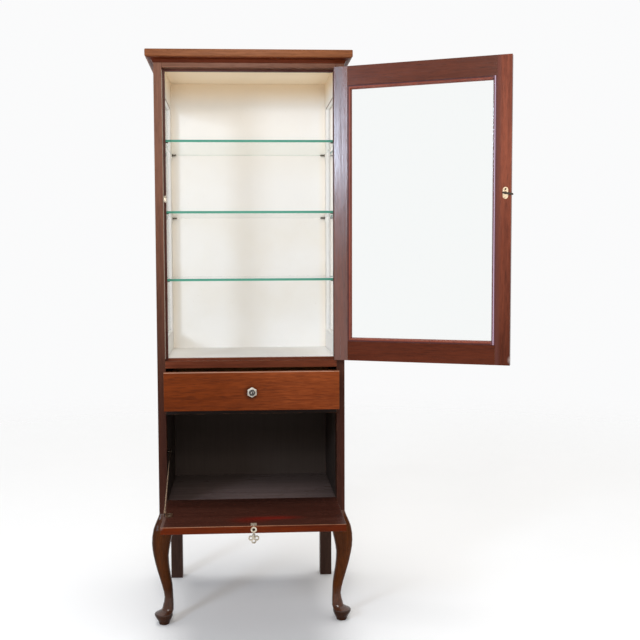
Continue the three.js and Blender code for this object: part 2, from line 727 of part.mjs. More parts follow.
function doorRail(zOuter, zInner) {
  const half = DOOR_EDGE - DOOR_STILE - FIT;
  const lip = zInner + Math.sign(zInner - zOuter) * DOOR_LIP;
  return join(
    box(-half, half, DOOR_LIP_THICKNESS, DOOR_THICKNESS, zOuter, zInner),
    box(-half + DOOR_LIP, half - DOOR_LIP, 0, DOOR_LIP_THICKNESS + FIT, zOuter, lip));
}

function doorBead(half, low, high) {
  const front = DOOR_LIP_THICKNESS + GLASS_THICKNESS + 2 * FIT;
  const ring = (inset, y) => [
    new THREE.Vector3(-half + inset, low + inset, y), new THREE.Vector3(half - inset, low + inset, y),
    new THREE.Vector3(half - inset, high - inset, y), new THREE.Vector3(-half + inset, high - inset, y),
  ];
  const opening = loft([
    ring(BEAD_WIDTH, 0),
    ring(BEAD_WIDTH, front),
    ring(BEAD_WIDTH - BEAD_SPLAY, DOOR_THICKNESS),
    ring(BEAD_WIDTH - BEAD_SPLAY, DOOR_THICKNESS + BEAD_WIDTH),
  ]);
  const upright = opening.rotateX(Math.PI / 2).scale(1, -1, 1);
  upright.setIndex(Array.from(upright.index.array).reverse());
  return cut(box(-half, half, front, DOOR_THICKNESS, low, high), upright);
}

// The tongue's long end points past the free edge of the door and droops a little, as it was left.
function latchTongue() {
  const centre = new THREE.Vector2(LATCH_Z, LATCH_X);
  const droop = THREE.MathUtils.degToRad(TONGUE_DROOP);
  const outward = new THREE.Vector2(-Math.sin(droop), -Math.cos(droop));
  const half = TONGUE_WIDTH / 2;
  const longTip = centre.clone().addScaledVector(outward, TONGUE_LONG - half);
  const shortTip = centre.clone().addScaledVector(outward, half - TONGUE_SHORT);
  return join(
    prismY(stadium(shortTip, longTip, half), TONGUE_FRONT, TONGUE_FRONT + TONGUE_THICKNESS),
    prismY(disc(centre.x, centre.y, SPINDLE_RADIUS), -ROSE_THICKNESS, TONGUE_FRONT + TONGUE_THICKNESS / 2),
    prismY(disc(centre.x, centre.y, KNOB_BOLT_RADIUS), -ROSE_THICKNESS - KNOB_BORE_DEPTH + FIT, FIT),
    prismY(disc(centre.x, centre.y, ROSE_RADIUS), -ROSE_THICKNESS - FIT, -FIT));
}

function latchPlate() {
  const straight = (LATCH_PLATE_HEIGHT - LATCH_PLATE_WIDTH) / 2;
  const low = new THREE.Vector2(LATCH_Z - straight, LATCH_X);
  const high = new THREE.Vector2(LATCH_Z + straight, LATCH_X);
  const outline = stadium(low, high, LATCH_PLATE_WIDTH / 2);
  const hole = disc(LATCH_Z, LATCH_X, SPINDLE_RADIUS + FIT);
  outline.holes.push(new THREE.Path(hole.getPoints().reverse()));
  return prismY(outline, DOOR_THICKNESS + FIT, DOOR_THICKNESS + FIT + LATCH_PLATE_THICKNESS);
}

function buildDoor() {
  const door = swung(HINGE_X, HINGE_Y, 0, 'z', DOOR_ANGLE);
  const half = DOOR_EDGE - DOOR_STILE;
  const low = DOOR_BOTTOM + DOOR_BOTTOM_RAIL;
  const high = DOOR_TOP - DOOR_TOP_RAIL;
  const leafFloor = HINGE_X - LEAF_GAP / 2 - LEAF_THICKNESS - FIT;
  const hingeStile = cut(doorStile(DOOR_EDGE, half),
    ...Object.values(HINGE_BASES).map((z) => leafMortise(z, leafFloor, DOOR_EDGE + FIT)));
  const spindleHole = prismY(disc(LATCH_Z, LATCH_X, SPINDLE_RADIUS + FIT), -FIT, DOOR_THICKNESS + FIT);
  add(door, 'door_hinge_stile', hingeStile, mahogany());
  add(door, 'door_latch_stile', cut(doorStile(-DOOR_EDGE, -half), spindleHole), mahogany());
  add(door, 'door_top_rail', doorRail(DOOR_TOP, high), mahogany());
  add(door, 'door_bottom_rail', doorRail(DOOR_BOTTOM, low), mahogany());
  const paneFront = DOOR_LIP_THICKNESS + FIT;
  const pane = box(-half + FIT, half - FIT, paneFront, paneFront + GLASS_THICKNESS, low + FIT, high - FIT);
  add(door, 'door_glass', pane, glass());
  add(door, 'door_bead', doorBead(half - FIT, low + FIT, high - FIT), mahoganyRed());
  add(door, 'latch_plate', latchPlate(), brass());
  add(door, 'latch_tongue', latchTongue(), steel());
  add(door, 'latch_knob', glassKnob(LATCH_X, -ROSE_THICKNESS - 2 * FIT, LATCH_Z), crystal());
  for (const [name, base] of Object.entries(HINGE_BASES)) {
    add(door, `door_hinge_${name}_moving_leaf`, doorHingeLeaf(1, base), brass());
    add(cabinet, `door_hinge_${name}_fixed_leaf`, doorHingeLeaf(0, base), brass());
  }
}

// Drawer

function buildDrawer() {
  const drawer = new THREE.Group();
  drawer.position.y = -DRAWER_PULL;
  cabinet.add(drawer);
  const half = POST_INNER - DRAWER_GAP;
  const inner = half - DRAWER_SIDE_THICKNESS;
  const low = DRAWER_BOARD_TOP + DRAWER_GAP;
  const high = UPPER_FLOOR_BOTTOM - DRAWER_GAP;
  const sideLow = DRAWER_BOARD_TOP + FIT;
  const sideHigh = high - DRAWER_SIDE_DROP;
  const front = DRAWER_FRONT_THICKNESS;
  const backFront = DRAWER_LENGTH - DRAWER_BACK_THICKNESS;
  const bottomLow = sideLow + DRAWER_BOTTOM_LIFT;
  const bottomHigh = bottomLow + DRAWER_BOTTOM_THICKNESS;
  const knobZ = (low + high) / 2;
  const arris = POST_ARRIS;
  const board = prismX(roundedRectangle(0, front, low, high, [arris, FIT, FIT, arris]), -half, half);
  const hole = prismY(disc(knobZ, 0, KNOB_BOLT_RADIUS + FIT), -FIT, front + FIT);
  const nutHole = prismY(disc(knobZ, 0, NUT_RADIUS + FIT), front - NUT_THICKNESS - FIT, front + FIT);
  add(drawer, 'drawer_front', cut(board, hole, nutHole), mahoganyRed());
  for (const [name, side] of SIDES) {
    const plank = box(side * inner, side * half, front, DRAWER_LENGTH, sideLow, sideHigh);
    add(drawer, `drawer_side_${name}`, plank, plainWood());
  }
  add(drawer, 'drawer_back', box(-inner, inner, backFront, DRAWER_LENGTH, bottomHigh, sideHigh), plainWood());
  add(drawer, 'drawer_bottom', box(-inner, inner, front, DRAWER_LENGTH, bottomLow, bottomHigh), plainWood());
  add(drawer, 'drawer_knob', glassKnob(0, -ROSE_THICKNESS, knobZ), crystal());
  add(drawer, 'drawer_knob_bolt', knobBolt(0, knobZ), brass());
}

// Drop flap with its lock and key, drawn shut and let down about its hinge

function flapPanel() {
  const arris = FLAP_ARRIS;
  const outline = roundedRectangle(0, FLAP_THICKNESS, FLAP_BOTTOM, FLAP_TOP, [arris, FIT, FIT, arris]);
  const board = prismX(outline, -FLAP_HALF, FLAP_HALF);
  const leaf = FLAP_HINGE_LENGTH / 2 + FIT;
  const leafTop = FLAP_AXIS_Z + LEAF_GAP + LEAF_THICKNESS + FIT;
  const lock = LOCK_WIDTH / 2 + FIT;
  const shoulder = FLAP_TOP - LOCK_NOSE;
  return cut(board,
    box(-leaf, leaf, -FIT, FLAP_LEAF_WIDTH + FIT, FLAP_BOTTOM - FIT, leafTop),
    box(-lock, lock, LOCK_SKIN - FIT, FLAP_THICKNESS + FIT, FLAP_TOP - LOCK_LENGTH - FIT, shoulder + FIT),
    prismZ(disc(0, LOCK_Y, lock), shoulder - 2 * FIT, FLAP_TOP + FIT),
    prismY(disc(KEY_Z, 0, KEY_RADIUS + KEYHOLE_CLEARANCE), -FIT, LOCK_SKIN));
}

function lockCase() {
  const shoulder = FLAP_TOP - LOCK_NOSE;
  const body = box(-LOCK_WIDTH / 2, LOCK_WIDTH / 2, LOCK_SKIN, FLAP_THICKNESS,
    FLAP_TOP - LOCK_LENGTH, shoulder);
  const eye = LOCK_RING_RADIUS - LOCK_RING_WALL;
  const face = FLAP_TOP + LOCK_RING_HEIGHT;
  const ring = prismZ(disc(0, LOCK_Y, LOCK_RING_RADIUS, eye), FLAP_TOP + FIT, face);
  const nose = prismZ(disc(0, LOCK_Y, LOCK_WIDTH / 2), shoulder - FIT, FLAP_TOP);
  const collar = prismZ(disc(0, LOCK_Y, LOCK_WIDTH / 2 - FIT, eye), FLAP_TOP - FIT, face);
  const boltBore = prismZ(disc(0, LOCK_Y, BOLT_RADIUS + FIT), BOLT_BASE - FIT, face);
  const keyBore = prismY(disc(KEY_Z, 0, KEY_RADIUS + FIT), LOCK_SKIN - FIT, KEY_INSERT + FIT);
  return cut(join(body, nose, ring, collar), boltBore, keyBore);
}

function key() {
  const bowY = -KEY_STEM - BOW_LOBE_OFFSET;
  const lobes = [[0, bowY - BOW_LOBE_OFFSET], [-BOW_LOBE_OFFSET, bowY], [BOW_LOBE_OFFSET, bowY]];
  const low = KEY_Z - BOW_THICKNESS / 2;
  const high = KEY_Z + BOW_THICKNESS / 2;
  const solid = join(
    prismY(disc(KEY_Z, 0, KEY_RADIUS), -KEY_STEM - BOW_LOBE_OFFSET / 2, KEY_INSERT),
    prismY(disc(KEY_Z, 0, KEY_COLLAR_RADIUS), -KEY_STEM, -KEY_STEM + KEY_RADIUS),
    prismZ(disc(0, bowY, BOW_LOBE_OFFSET), low, high),
    ...lobes.map(([x, y]) => prismZ(disc(x, y, BOW_LOBE_RADIUS), low, high)));
  return cut(solid, ...lobes.map(([x, y]) => prismZ(disc(x, y, BOW_HOLE_RADIUS), low - FIT, high + FIT)));
}

function buildFlap() {
  const flap = swung(0, FLAP_AXIS_Y, FLAP_AXIS_Z, 'x', FLAP_ANGLE);
  add(flap, 'flap_panel', flapPanel(), mahogany());
  add(flap, 'flap_hinge_moving_leaf', flapHingeLeaf(1), brass());
  add(flap, 'lock_case', lockCase(), brass());
  add(flap, 'lock_bolt', prismZ(disc(0, LOCK_Y, BOLT_RADIUS), BOLT_BASE, BOLT_BASE + BOLT_LENGTH), steel());
  add(flap, 'key', key(), brass());
  add(flap, 'stay_foot', stayFoot(), brass());
  add(cabinet, 'flap_hinge_fixed_leaf', flapHingeLeaf(0), brass());
}

// Stay: a foot on the flap, a slotted arm, and a headed pin on the case side

const STAY_OUTER = -POST_INNER + STAY_INSET;
const STAY_INNER = STAY_OUTER + STAY_THICKNESS;
const FOOT_PIVOT = new THREE.Vector2(FLAP_THICKNESS + STAY_LIFT, FLAP_AXIS_Z + STAY_REACH);

function stayFoot() {
  const { x: pivotY, y: pivotZ } = FOOT_PIVOT;
  const face = FLAP_THICKNESS + FIT;
  const near = STAY_INNER + FIT;
  const low = pivotZ - STAY_FOOT_LENGTH / 2;
  const round = STAY_HALF_WIDTH - FIT;
  const ear = roundedRectangle(face, pivotY + round, pivotZ - STAY_HALF_WIDTH, pivotZ + STAY_HALF_WIDTH,
    [FIT, round, round, FIT]);
  const corners = Array(4).fill(STAY_FOOT_ROUND);
  const plate = roundedRectangle(low, low + STAY_FOOT_LENGTH, near, near + STAY_FOOT_WIDTH, corners);
  const head = STAY_OUTER - FIT;
  return join(
    prismY(plate, face, face + STAY_FOOT_THICKNESS),
    prismX(ear, near, near + STAY_FOOT_THICKNESS),
    prismX(disc(pivotY, pivotZ, STAY_PIN_RADIUS), head - FIT, near + FIT),
    prismX(disc(pivotY, pivotZ, STAY_SHOULDER_RADIUS), head - STAY_FOOT_THICKNESS / 2, head));
}

function buildStay() {
  const hinge = new THREE.Vector2(FLAP_AXIS_Y, FLAP_AXIS_Z);
  const turn = THREE.MathUtils.degToRad(FLAP_ANGLE);
  const pivot = FOOT_PIVOT.clone().rotateAround(hinge, turn);
  const radius = FOOT_PIVOT.distanceTo(hinge);
  const rise = Math.sqrt(radius ** 2 - STAY_SETBACK ** 2);
  const pin = new THREE.Vector2(FLAP_AXIS_Y + STAY_SETBACK, FLAP_AXIS_Z + rise);
  const along = pin.clone().sub(pivot).normalize();
  const open = pin.distanceTo(pivot);
  const shut = pin.distanceTo(FOOT_PIVOT);
  const clear = STAY_PIN_RADIUS + STAY_SLOT_CLEARANCE;
  const at = (distance) => pivot.clone().addScaledVector(along, distance);
  const arm = stadium(pivot, at(open + STAY_HALF_WIDTH / 2), STAY_HALF_WIDTH);
  const holes = [stadium(at(shut), at(open), clear), disc(pivot.x, pivot.y, clear)];
  holes.forEach((hole) => arm.holes.push(new THREE.Path(hole.getPoints(ARC_STEPS).reverse())));
  add(cabinet, 'stay_arm', prismX(arm, STAY_OUTER, STAY_INNER), brass());

  const wall = -SIDE_INNER;
  const head = STAY_INNER + FIT;
  const profile = [
    [0, 0], [STAY_ROSE_RADIUS, 0], [STAY_ROSE_RADIUS, STAY_FOOT_THICKNESS],
    [STAY_SHOULDER_RADIUS, STAY_FOOT_THICKNESS], [STAY_SHOULDER_RADIUS, STAY_OUTER - FIT - wall],
    [STAY_PIN_RADIUS, STAY_OUTER - FIT - wall], [STAY_PIN_RADIUS, head - wall],
    [STAY_SHOULDER_RADIUS, head - wall], [STAY_SHOULDER_RADIUS, head - wall + STAY_FOOT_THICKNESS],
    [0, head - wall + STAY_FOOT_THICKNESS],
  ];
  add(cabinet, 'stay_pin', turned(profile).rotateZ(-Math.PI / 2).translate(wall, pin.x, pin.y), brass());
}

buildCase();
buildShelves();
buildDoor();
buildDrawer();
buildFlap();
buildStay();

// The origin is on the floor, under the middle of the open cabinet's outline, to the nearest millimetre.
const outline = new THREE.Box3().setFromObject(cabinet, true);
const middle = outline.getCenter(new THREE.Vector3()).round();
cabinet.position.set(-middle.x, -middle.y, 0);

export default cabinet;
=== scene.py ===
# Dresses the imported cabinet: a finish for every piece, small fittings, floor, light and camera.

import json
import math
from collections import namedtuple
from functools import cached_property, reduce

import bpy
from mathutils import Matrix, Vector


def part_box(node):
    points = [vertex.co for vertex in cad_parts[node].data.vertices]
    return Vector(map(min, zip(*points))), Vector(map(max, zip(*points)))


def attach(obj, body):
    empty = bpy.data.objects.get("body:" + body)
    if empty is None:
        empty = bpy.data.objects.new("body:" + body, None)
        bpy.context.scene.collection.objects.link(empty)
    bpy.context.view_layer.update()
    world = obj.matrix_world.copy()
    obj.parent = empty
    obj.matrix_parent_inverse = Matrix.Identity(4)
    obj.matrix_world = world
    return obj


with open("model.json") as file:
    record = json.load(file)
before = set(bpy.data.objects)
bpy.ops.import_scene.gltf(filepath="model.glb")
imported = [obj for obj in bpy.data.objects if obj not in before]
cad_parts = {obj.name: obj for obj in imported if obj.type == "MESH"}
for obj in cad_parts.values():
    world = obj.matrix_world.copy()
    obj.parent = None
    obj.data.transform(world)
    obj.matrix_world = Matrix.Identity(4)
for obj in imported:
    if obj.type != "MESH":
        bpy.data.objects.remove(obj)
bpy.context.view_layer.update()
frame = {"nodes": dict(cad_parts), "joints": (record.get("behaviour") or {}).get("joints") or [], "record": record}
nodes = frame["nodes"]
joints = {joint["name"]: joint for joint in frame["joints"]}

X = Vector((1, 0, 0))
Y = Vector((0, 1, 0))
Z = Vector((0, 0, 1))

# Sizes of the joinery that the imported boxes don't give, in metres

STOP_LIP = 0.006
STOP_DEPTH = 0.033
REBATE_DEPTH = 0.0215
TOP_BOARD = 0.0194
EPS = 0.0004

# Places on the cabinet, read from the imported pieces

POST_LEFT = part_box("front_post_left")
POST_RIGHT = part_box("front_post_right")
SIDE_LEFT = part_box("side_panel_left")
SIDE_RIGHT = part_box("side_panel_right")
UPPER_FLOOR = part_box("upper_floor")
DRAWER_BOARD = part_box("drawer_board")
LOWER_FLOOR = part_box("lower_floor")
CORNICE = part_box("cornice_top")
TOP_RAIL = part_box("top_rail")
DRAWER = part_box("drawer_front")
DRAWER_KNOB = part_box("drawer_knob")
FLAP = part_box("flap_panel")
LATCH_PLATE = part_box("latch_plate")
STAY_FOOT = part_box("stay_foot")

CENTRE_X = (POST_LEFT[0].x + POST_RIGHT[1].x) / 2
FRONT_Y = POST_LEFT[0].y
BACK_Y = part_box("back_panel")[0].y
CEILING = SIDE_LEFT[1].z
GLAZED_FLOOR = UPPER_FLOOR[1].z - STOP_LIP
INSIDE = {"left": SIDE_LEFT[1].x, "right": SIDE_RIGHT[0].x}

LATCH_AXIS = Vector(joints["latch_turn"]["axis"]).normalized()
LATCH_PLACE = Vector(joints["latch_turn"]["pos_m"])
DOOR_ALONG = Vector((LATCH_AXIS.y, -LATCH_AXIS.x, 0))
DOOR_HINGE = Vector(joints["door_hinge"]["pos_m"])
DOOR_AXIS = Vector(joints["door_hinge"]["axis"])
DOOR_ANGLE = -math.radians(joints["door_hinge"]["range_deg"][0])


def span(name, direction):
    """From where to where a piece reaches along a direction."""
    reach = [vertex.co.dot(direction) for vertex in nodes[name].data.vertices]
    return min(reach), max(reach)


def region(left=None, right=None, front=None, back=None, bottom=None, top=None):
    """The lowest and highest corners of a box; a side that isn't given is open."""
    return (left, front, bottom), (right, back, top)


def link(name, data):
    """A new object in the scene."""
    piece = bpy.data.objects.new(name, data)
    bpy.context.scene.collection.objects.link(piece)
    return piece


# Camera

IMAGE = 640
FOCAL_PIXELS = 907.14
PRINCIPAL = (288.78, 312.42)
SENSOR = 36.0
CLIP = (0.05, 60)
CAMERA_FROM_POST = Vector((-0.02708, -2.44949, 1.00135))
CAMERA_YAW = math.radians(3.02)
CAMERA_PITCH = math.radians(-3.53)
CAMERA_ROLL = math.radians(-0.29)


def make_camera():
    """A camera with its place, turn and shift set from the front of the case."""
    data = bpy.data.cameras.new("camera")
    camera = link("camera", data)
    data.sensor_fit = "HORIZONTAL"
    data.sensor_width = SENSOR
    data.lens = FOCAL_PIXELS / IMAGE * SENSOR
    data.shift_x = (IMAGE / 2 - PRINCIPAL[0]) / IMAGE
    data.shift_y = (PRINCIPAL[1] - IMAGE / 2) / IMAGE
    data.clip_start, data.clip_end = CLIP
    forward = Vector((
        math.sin(CAMERA_YAW) * math.cos(CAMERA_PITCH),
        math.cos(CAMERA_YAW) * math.cos(CAMERA_PITCH),
        math.sin(CAMERA_PITCH),
    ))
    level = Vector((math.cos(CAMERA_YAW), -math.sin(CAMERA_YAW), 0))
    rise = level.cross(forward)
    right = level * math.cos(CAMERA_ROLL) + rise * math.sin(CAMERA_ROLL)
    up = right.cross(forward)
    turn = Matrix((right, up, -forward)).transposed().to_4x4()
    place = Vector((CENTRE_X, FRONT_Y, 0)) + CAMERA_FROM_POST
    camera.matrix_world = Matrix.Translation(place) @ turn
    bpy.context.scene.camera = camera


# Node trees

# How a shift of the grain is shared out over the three axes
SHIFT_SHARES = (1.0, 0.7, 1.3)
BEVEL_SAMPLES = 4


class Graph:
    """The node tree of a material or of the world, built one node at a time."""

    def __init__(self, owner):
        owner.use_nodes = True
        self.owner = owner
        self.tree = owner.node_tree
        self.tree.nodes.clear()

    @classmethod
    def material(cls, name):
        return cls(bpy.data.materials.new(name))

    @cached_property
    def place(self):
        """The point on the surface, in the row frame."""
        return self.add("ShaderNodeTexCoord").outputs["Object"]

    @cached_property
    def normal(self):
        """Where the surface faces."""
        return self.add("ShaderNodeNewGeometry").outputs["Normal"]

    def add(self, kind, inputs=None, **settings):
        node = self.tree.nodes.new(kind)
        for key, value in settings.items():
            setattr(node, key, value)
        for key, value in (inputs or {}).items():
            socket = node.inputs[key]
            if isinstance(value, bpy.types.NodeSocket):
                self.tree.links.new(value, socket)
            else:
                socket.default_value = value
        return node

    def math(self, operation, a, b=0.0):
        return self.add("ShaderNodeMath", {0: a, 1: b}, operation=operation).outputs[0]

    def fold(self, operation, *values):
        """Several values joined by one operation."""
        return reduce(lambda a, b: self.math(operation, a, b), values)

    def scaled(self, value, factor):
        return self.math("MULTIPLY", value, factor)

    def vector(self, operation, a, b=(0, 0, 0)):
        """Vector arithmetic that gives a vector."""
        return self.add("ShaderNodeVectorMath", {0: a, 1: b}, operation=operation).outputs["Vector"]

    def measure(self, operation, a, b=(0, 0, 0)):
        """Vector arithmetic that gives a number."""
        return self.add("ShaderNodeVectorMath", {0: a, 1: b}, operation=operation).outputs["Value"]

    def axes(self, vector):
        return self.add("ShaderNodeSeparateXYZ", {0: vector}).outputs

    def mix(self, factor, a, b):
        return self.add("ShaderNodeMix", {0: factor, 6: a, 7: b}, data_type="RGBA").outputs[2]

    def blend(self, factor, a, b):
        return self.add("ShaderNodeMix", {0: factor, 2: a, 3: b}, data_type="FLOAT").outputs[0]

    def noise(self, vector, scale, detail=2.0, roughness=0.5, distortion=0.0):
        return self.add("ShaderNodeTexNoise", {
            "Vector": vector, "Scale": scale, "Detail": detail,
            "Roughness": roughness, "Distortion": distortion,
        }).outputs[0]

    def step(self, value, low, high):
        """0 below low, 1 above high and smooth between; low may be the greater."""
        return self.add("ShaderNodeMapRange", {
            "Value": value, "From Min": low, "From Max": high, "To Min": 0.0, "To Max": 1.0,
        }, interpolation_type="SMOOTHSTEP").outputs[0]

    def along(self, direction):
        """How far the point lies along a direction, in the row frame."""
        return self.measure("DOT_PRODUCT", self.place, direction)

    def stretched(self, along, ratio, shift=0.0):
        """The place turned so that `along` becomes Z, then shrunk along it."""
        turned = self.add("ShaderNodeMapping", {
            "Vector": self.place,
            "Rotation": along.rotation_difference(Z).to_euler(),
            "Location": [shift * share for share in SHIFT_SHARES],
        }).outputs[0]
        return self.add("ShaderNodeMapping", {"Vector": turned, "Scale": (1.0, 1.0, ratio)}).outputs[0]

    def zone(self, low, high):
        """1 inside the box from low to high, in the row frame; None leaves a side open."""
        tests = []
        for place, start, end in zip(self.axes(self.place), low, high):
            if start is not None:
                tests.append(self.math("GREATER_THAN", place, start))
            if end is not None:
                tests.append(self.math("LESS_THAN", place, end))
        return self.fold("MULTIPLY", *tests)

    def band(self, value, low, low_full, high_full, high):
        """1 from low_full to high_full, and 0 below low and above high."""
        return self.math("MULTIPLY", self.step(value, low, low_full), self.step(value, high, high_full))

    def blob(self, centre, half_sizes, core=0.3):
        """1 at the centre, fading to 0 at an oval with these half-sizes; core is the share of them
        that stays at 1."""
        share = self.vector("DIVIDE", self.vector("SUBTRACT", self.place, centre), half_sizes)
        return self.step(self.measure("LENGTH", share), 1.0, core)

    def line(self, start, end, width, core=0.4):
        """1 on the straight stretch between two points, 0 a width away from it; core is the share
        of the width that stays at 1."""
        ray = (end - start).normalized()
        offset = self.vector("SUBTRACT", self.place, start)
        run = self.measure("DOT_PRODUCT", offset, ray)
        kept = self.math("MINIMUM", self.math("MAXIMUM", run, 0.0), (end - start).length)
        foot = self.add("ShaderNodeVectorMath", {0: ray, "Scale": kept}, operation="SCALE").outputs[0]
        return self.step(self.measure("DISTANCE", offset, foot), width, width * core)

    def frame_depth(self, along, start, end, low, high):
        """How far in the point lies from the outline of an upright frame that spans start to end along
        a direction, and low to high in height."""
        run = self.along(along)
        rise = self.along(Z)
        return self.fold(
            "MINIMUM",
            self.math("SUBTRACT", run, start),
            self.math("SUBTRACT", end, run),
            self.math("SUBTRACT", rise, low),
            self.math("SUBTRACT", high, rise),
        )

    def soft_normal(self, radius):
        return self.add("ShaderNodeBevel", {"Radius": radius}, samples=BEVEL_SAMPLES).outputs[0]

    def principled(self, inputs):
        return self.add("ShaderNodeBsdfPrincipled", inputs).outputs[0]

    def clear(self, tint=(1.0, 1.0, 1.0, 1.0)):
        return self.add("ShaderNodeBsdfTransparent", {"Color": tint}).outputs[0]

    def either(self, factor, a, b):
        """One shader or another."""
        return self.add("ShaderNodeMixShader", {0: factor, 1: a, 2: b}).outputs[0]

    def dressed(self, recipe, constants=None, bump=0.3, depth=0.0004, edge=0.0012):
        """The shader of a recipe, with its bump and with soft edges."""
        normal = self.add("ShaderNodeBump", {
            "Strength": bump, "Distance": depth, "Height": recipe.height, "Normal": self.soft_normal(edge),
        }).outputs[0]
        inputs = {"Base Color": recipe.colour, "Roughness": recipe.rough, "Normal": normal}
        inputs.update(constants or {})
        return self.principled(inputs)

    def surface(self, shader, kind="ShaderNodeOutputMaterial"):
        self.add(kind, {"Surface": shader})
        return self.owner


def srgb(red, green, blue):
    """A colour from its levels of 0 to 255."""
    def linear(value):
        value /= 255.0
        return value / 12.92 if value <= 0.04045 else ((value + 0.055) / 1.055) ** 2.4
    return (linear(red), linear(green), linear(blue), 1.0)


# Tones of the wood and paint, each a dark and a light, as they look in even light; a few hold painted shade or a
# painted highlight, as said where they stand

CORNICE_TONES = (srgb(112, 62, 34), srgb(150, 92, 56))
# Painted shade: the cove under the cornice's overhang
COVE_SHADE_TONES = (srgb(74, 28, 12), srgb(98, 42, 20))
POST_TONES = (srgb(104, 67, 51), srgb(130, 87, 67))
# Painted shade: the darker lower part of the front posts
POST_SHADED_FOOT_TONES = (srgb(46, 22, 15), srgb(65, 33, 23))
# Painted shade: the stop lips in the door's rebate
STOP_SHADE_TONES = (srgb(68, 36, 31), srgb(90, 50, 43))
# Painted highlight: the pale inner face of the front posts
REBATE_HIGHLIGHT_TONES = (srgb(186, 170, 152), srgb(212, 198, 180))
RAIL_TONES = (srgb(92, 43, 26), srgb(122, 62, 40))
DOOR_TONES = (srgb(80, 40, 28), srgb(106, 56, 40))
# Painted shade: the door's bottom rail is darker than its top one
DOOR_SHADED_FOOT_TONES = (srgb(72, 30, 16), srgb(94, 43, 26))
FREE_STILE_TONES = (srgb(102, 48, 34), srgb(146, 78, 56))
# Painted shade: the darker lower part of the free stile
FREE_STILE_SHADED_FOOT_TONES = (srgb(54, 21, 10), srgb(74, 32, 18))
BEAD_TONES = (srgb(118, 56, 42), srgb(146, 76, 58))
DRAWER_TONES = (srgb(84, 32, 4), srgb(110, 47, 12))
DRAWER_RIGHT_TONES = (srgb(104, 44, 14), srgb(134, 64, 28))
# Painted highlight along the top edge of the drawer front
DRAWER_EDGE_HIGHLIGHT_TONES = (srgb(158, 112, 88), srgb(190, 146, 120))
FLAP_TONES = (srgb(56, 28, 21), srgb(72, 40, 31))
FLAP_EDGE_TONES = (srgb(74, 20, 0), srgb(96, 33, 0))
# Painted highlight along the top of the flap's front edge
FLAP_EDGE_HIGHLIGHT_TONES = (srgb(128, 84, 62), srgb(158, 112, 86))
LEG_TONES = (srgb(48, 20, 0), srgb(82, 40, 10))
RIGHT_LEG_TONES = (srgb(58, 25, 2), srgb(96, 48, 14))
FOOT_TONES = (srgb(46, 23, 12), srgb(62, 37, 24))
LOWER_BOARD_TONES = (srgb(120, 101, 97), srgb(146, 125, 120))
REAR_LEG_TONES = (srgb(58, 40, 33), srgb(76, 54, 45))
DARK_TONES = (srgb(58, 49, 44), srgb(68, 58, 52))
# Painted shadow, near black, on the front edge of the board under the drawer
DRAWER_SHADOW_TONES = (srgb(24, 18, 16), srgb(34, 26, 23))
PALE_TONES = (srgb(140, 104, 66), srgb(180, 142, 96))
CREAM_TONES = (srgb(245, 243, 239), srgb(238, 232, 221))

# Marks and stains on them, and colours of painted shade, painted highlights and painted reflections

# Yellowed paint and painted shade together, under the ceiling and in the corners of the back
YELLOWED_SHADE_CREAM = srgb(249, 230, 202)
SPECK = srgb(160, 130, 90)
WORN = srgb(160, 108, 74)
PORE = srgb(26, 11, 6)
GROOVE = srgb(76, 40, 38)
# Painted shade, mauve, on the free side of the door's bead
MAUVE_SHADE = srgb(98, 58, 62)
# Darker brown of the free stile along the bead
NEAR_BEAD_DARK = srgb(92, 54, 48)
# Painted highlight: a bright lavender line along the bead on the free side
ARRIS_HIGHLIGHT = srgb(190, 168, 188)
# Painted shadow round the drawer's knob
KNOB_SHADOW = srgb(44, 18, 8)
# Painted reflection at the left end of the flap
FLAP_END_REFLECTION = srgb(106, 84, 76)
SCRATCH = srgb(214, 196, 184)
# Dust together with a painted sheen on the tops of the feet
DUST_AND_SHEEN = srgb(118, 108, 104)
CHIP = srgb(196, 176, 168)
# Brown of the upper strips of the glazing beads
UPPER_STRIP_BROWN = srgb(112, 78, 54)
# Painted reflection of red wood in the flap's varnish, bright and dark
RED_REFLECTION = srgb(150, 14, 4)
DARK_RED_REFLECTION = srgb(104, 8, 0)

# Metals, each bright and tarnished

SILVER_TONES = (srgb(178, 168, 152), srgb(104, 92, 76))
NICKEL_TONES = (srgb(198, 178, 148), srgb(150, 122, 92))
BRONZE_TONES = (srgb(116, 98, 82), srgb(72, 59, 48))
PALE_BRONZE_TONES = (srgb(112, 84, 62), srgb(60, 43, 31))
LOCK_TONES = (srgb(206, 194, 174), srgb(144, 126, 104))
STEEL_TONES = (srgb(54, 47, 41), srgb(30, 25, 21))
IRON_TONES = (srgb(74, 66, 56), srgb(44, 36, 30))

# Glass, and the tint that light takes on as it passes through

PANE_TINT = srgb(250, 252, 251)
PANE_LIGHT = (0.96, 0.96, 0.95, 1.0)
SHELF_TINT = srgb(246, 252, 248)
SHELF_LIGHT = (0.955, 0.94, 0.91, 1.0)
SHELF_EDGE_TONES = (srgb(68, 136, 114), srgb(86, 153, 131))
SHELF_BACK_EDGE = srgb(176, 206, 184)
KNOB_RIM_TONES = (srgb(255, 250, 238), srgb(222, 210, 190))
# The dark of the knob's core, and the colour of its painted glints
KNOB_CORE_AND_GLINT_TONES = (srgb(30, 23, 20), srgb(200, 192, 182))

# Surface recipes: each gives a colour, a roughness and a height

Recipe = namedtuple("Recipe", "colour rough height")

# Features of the wood: how many to the metre across the grain, and how much shorter along it
FIGURE_SCALE = 18.0
FLECK_SCALE = 260.0
FIGURE_RATIO = 0.1
STREAK_SCALE = 170.0
STREAK_RATIO = 0.03
PORE_SCALE = 560.0
PORE_RATIO = 0.06
SMUDGE_SCALE = 9.0
FLECKING = 0.35
# About what the unevenness adds to a roughness
UNEVEN_MEAN = 0.1


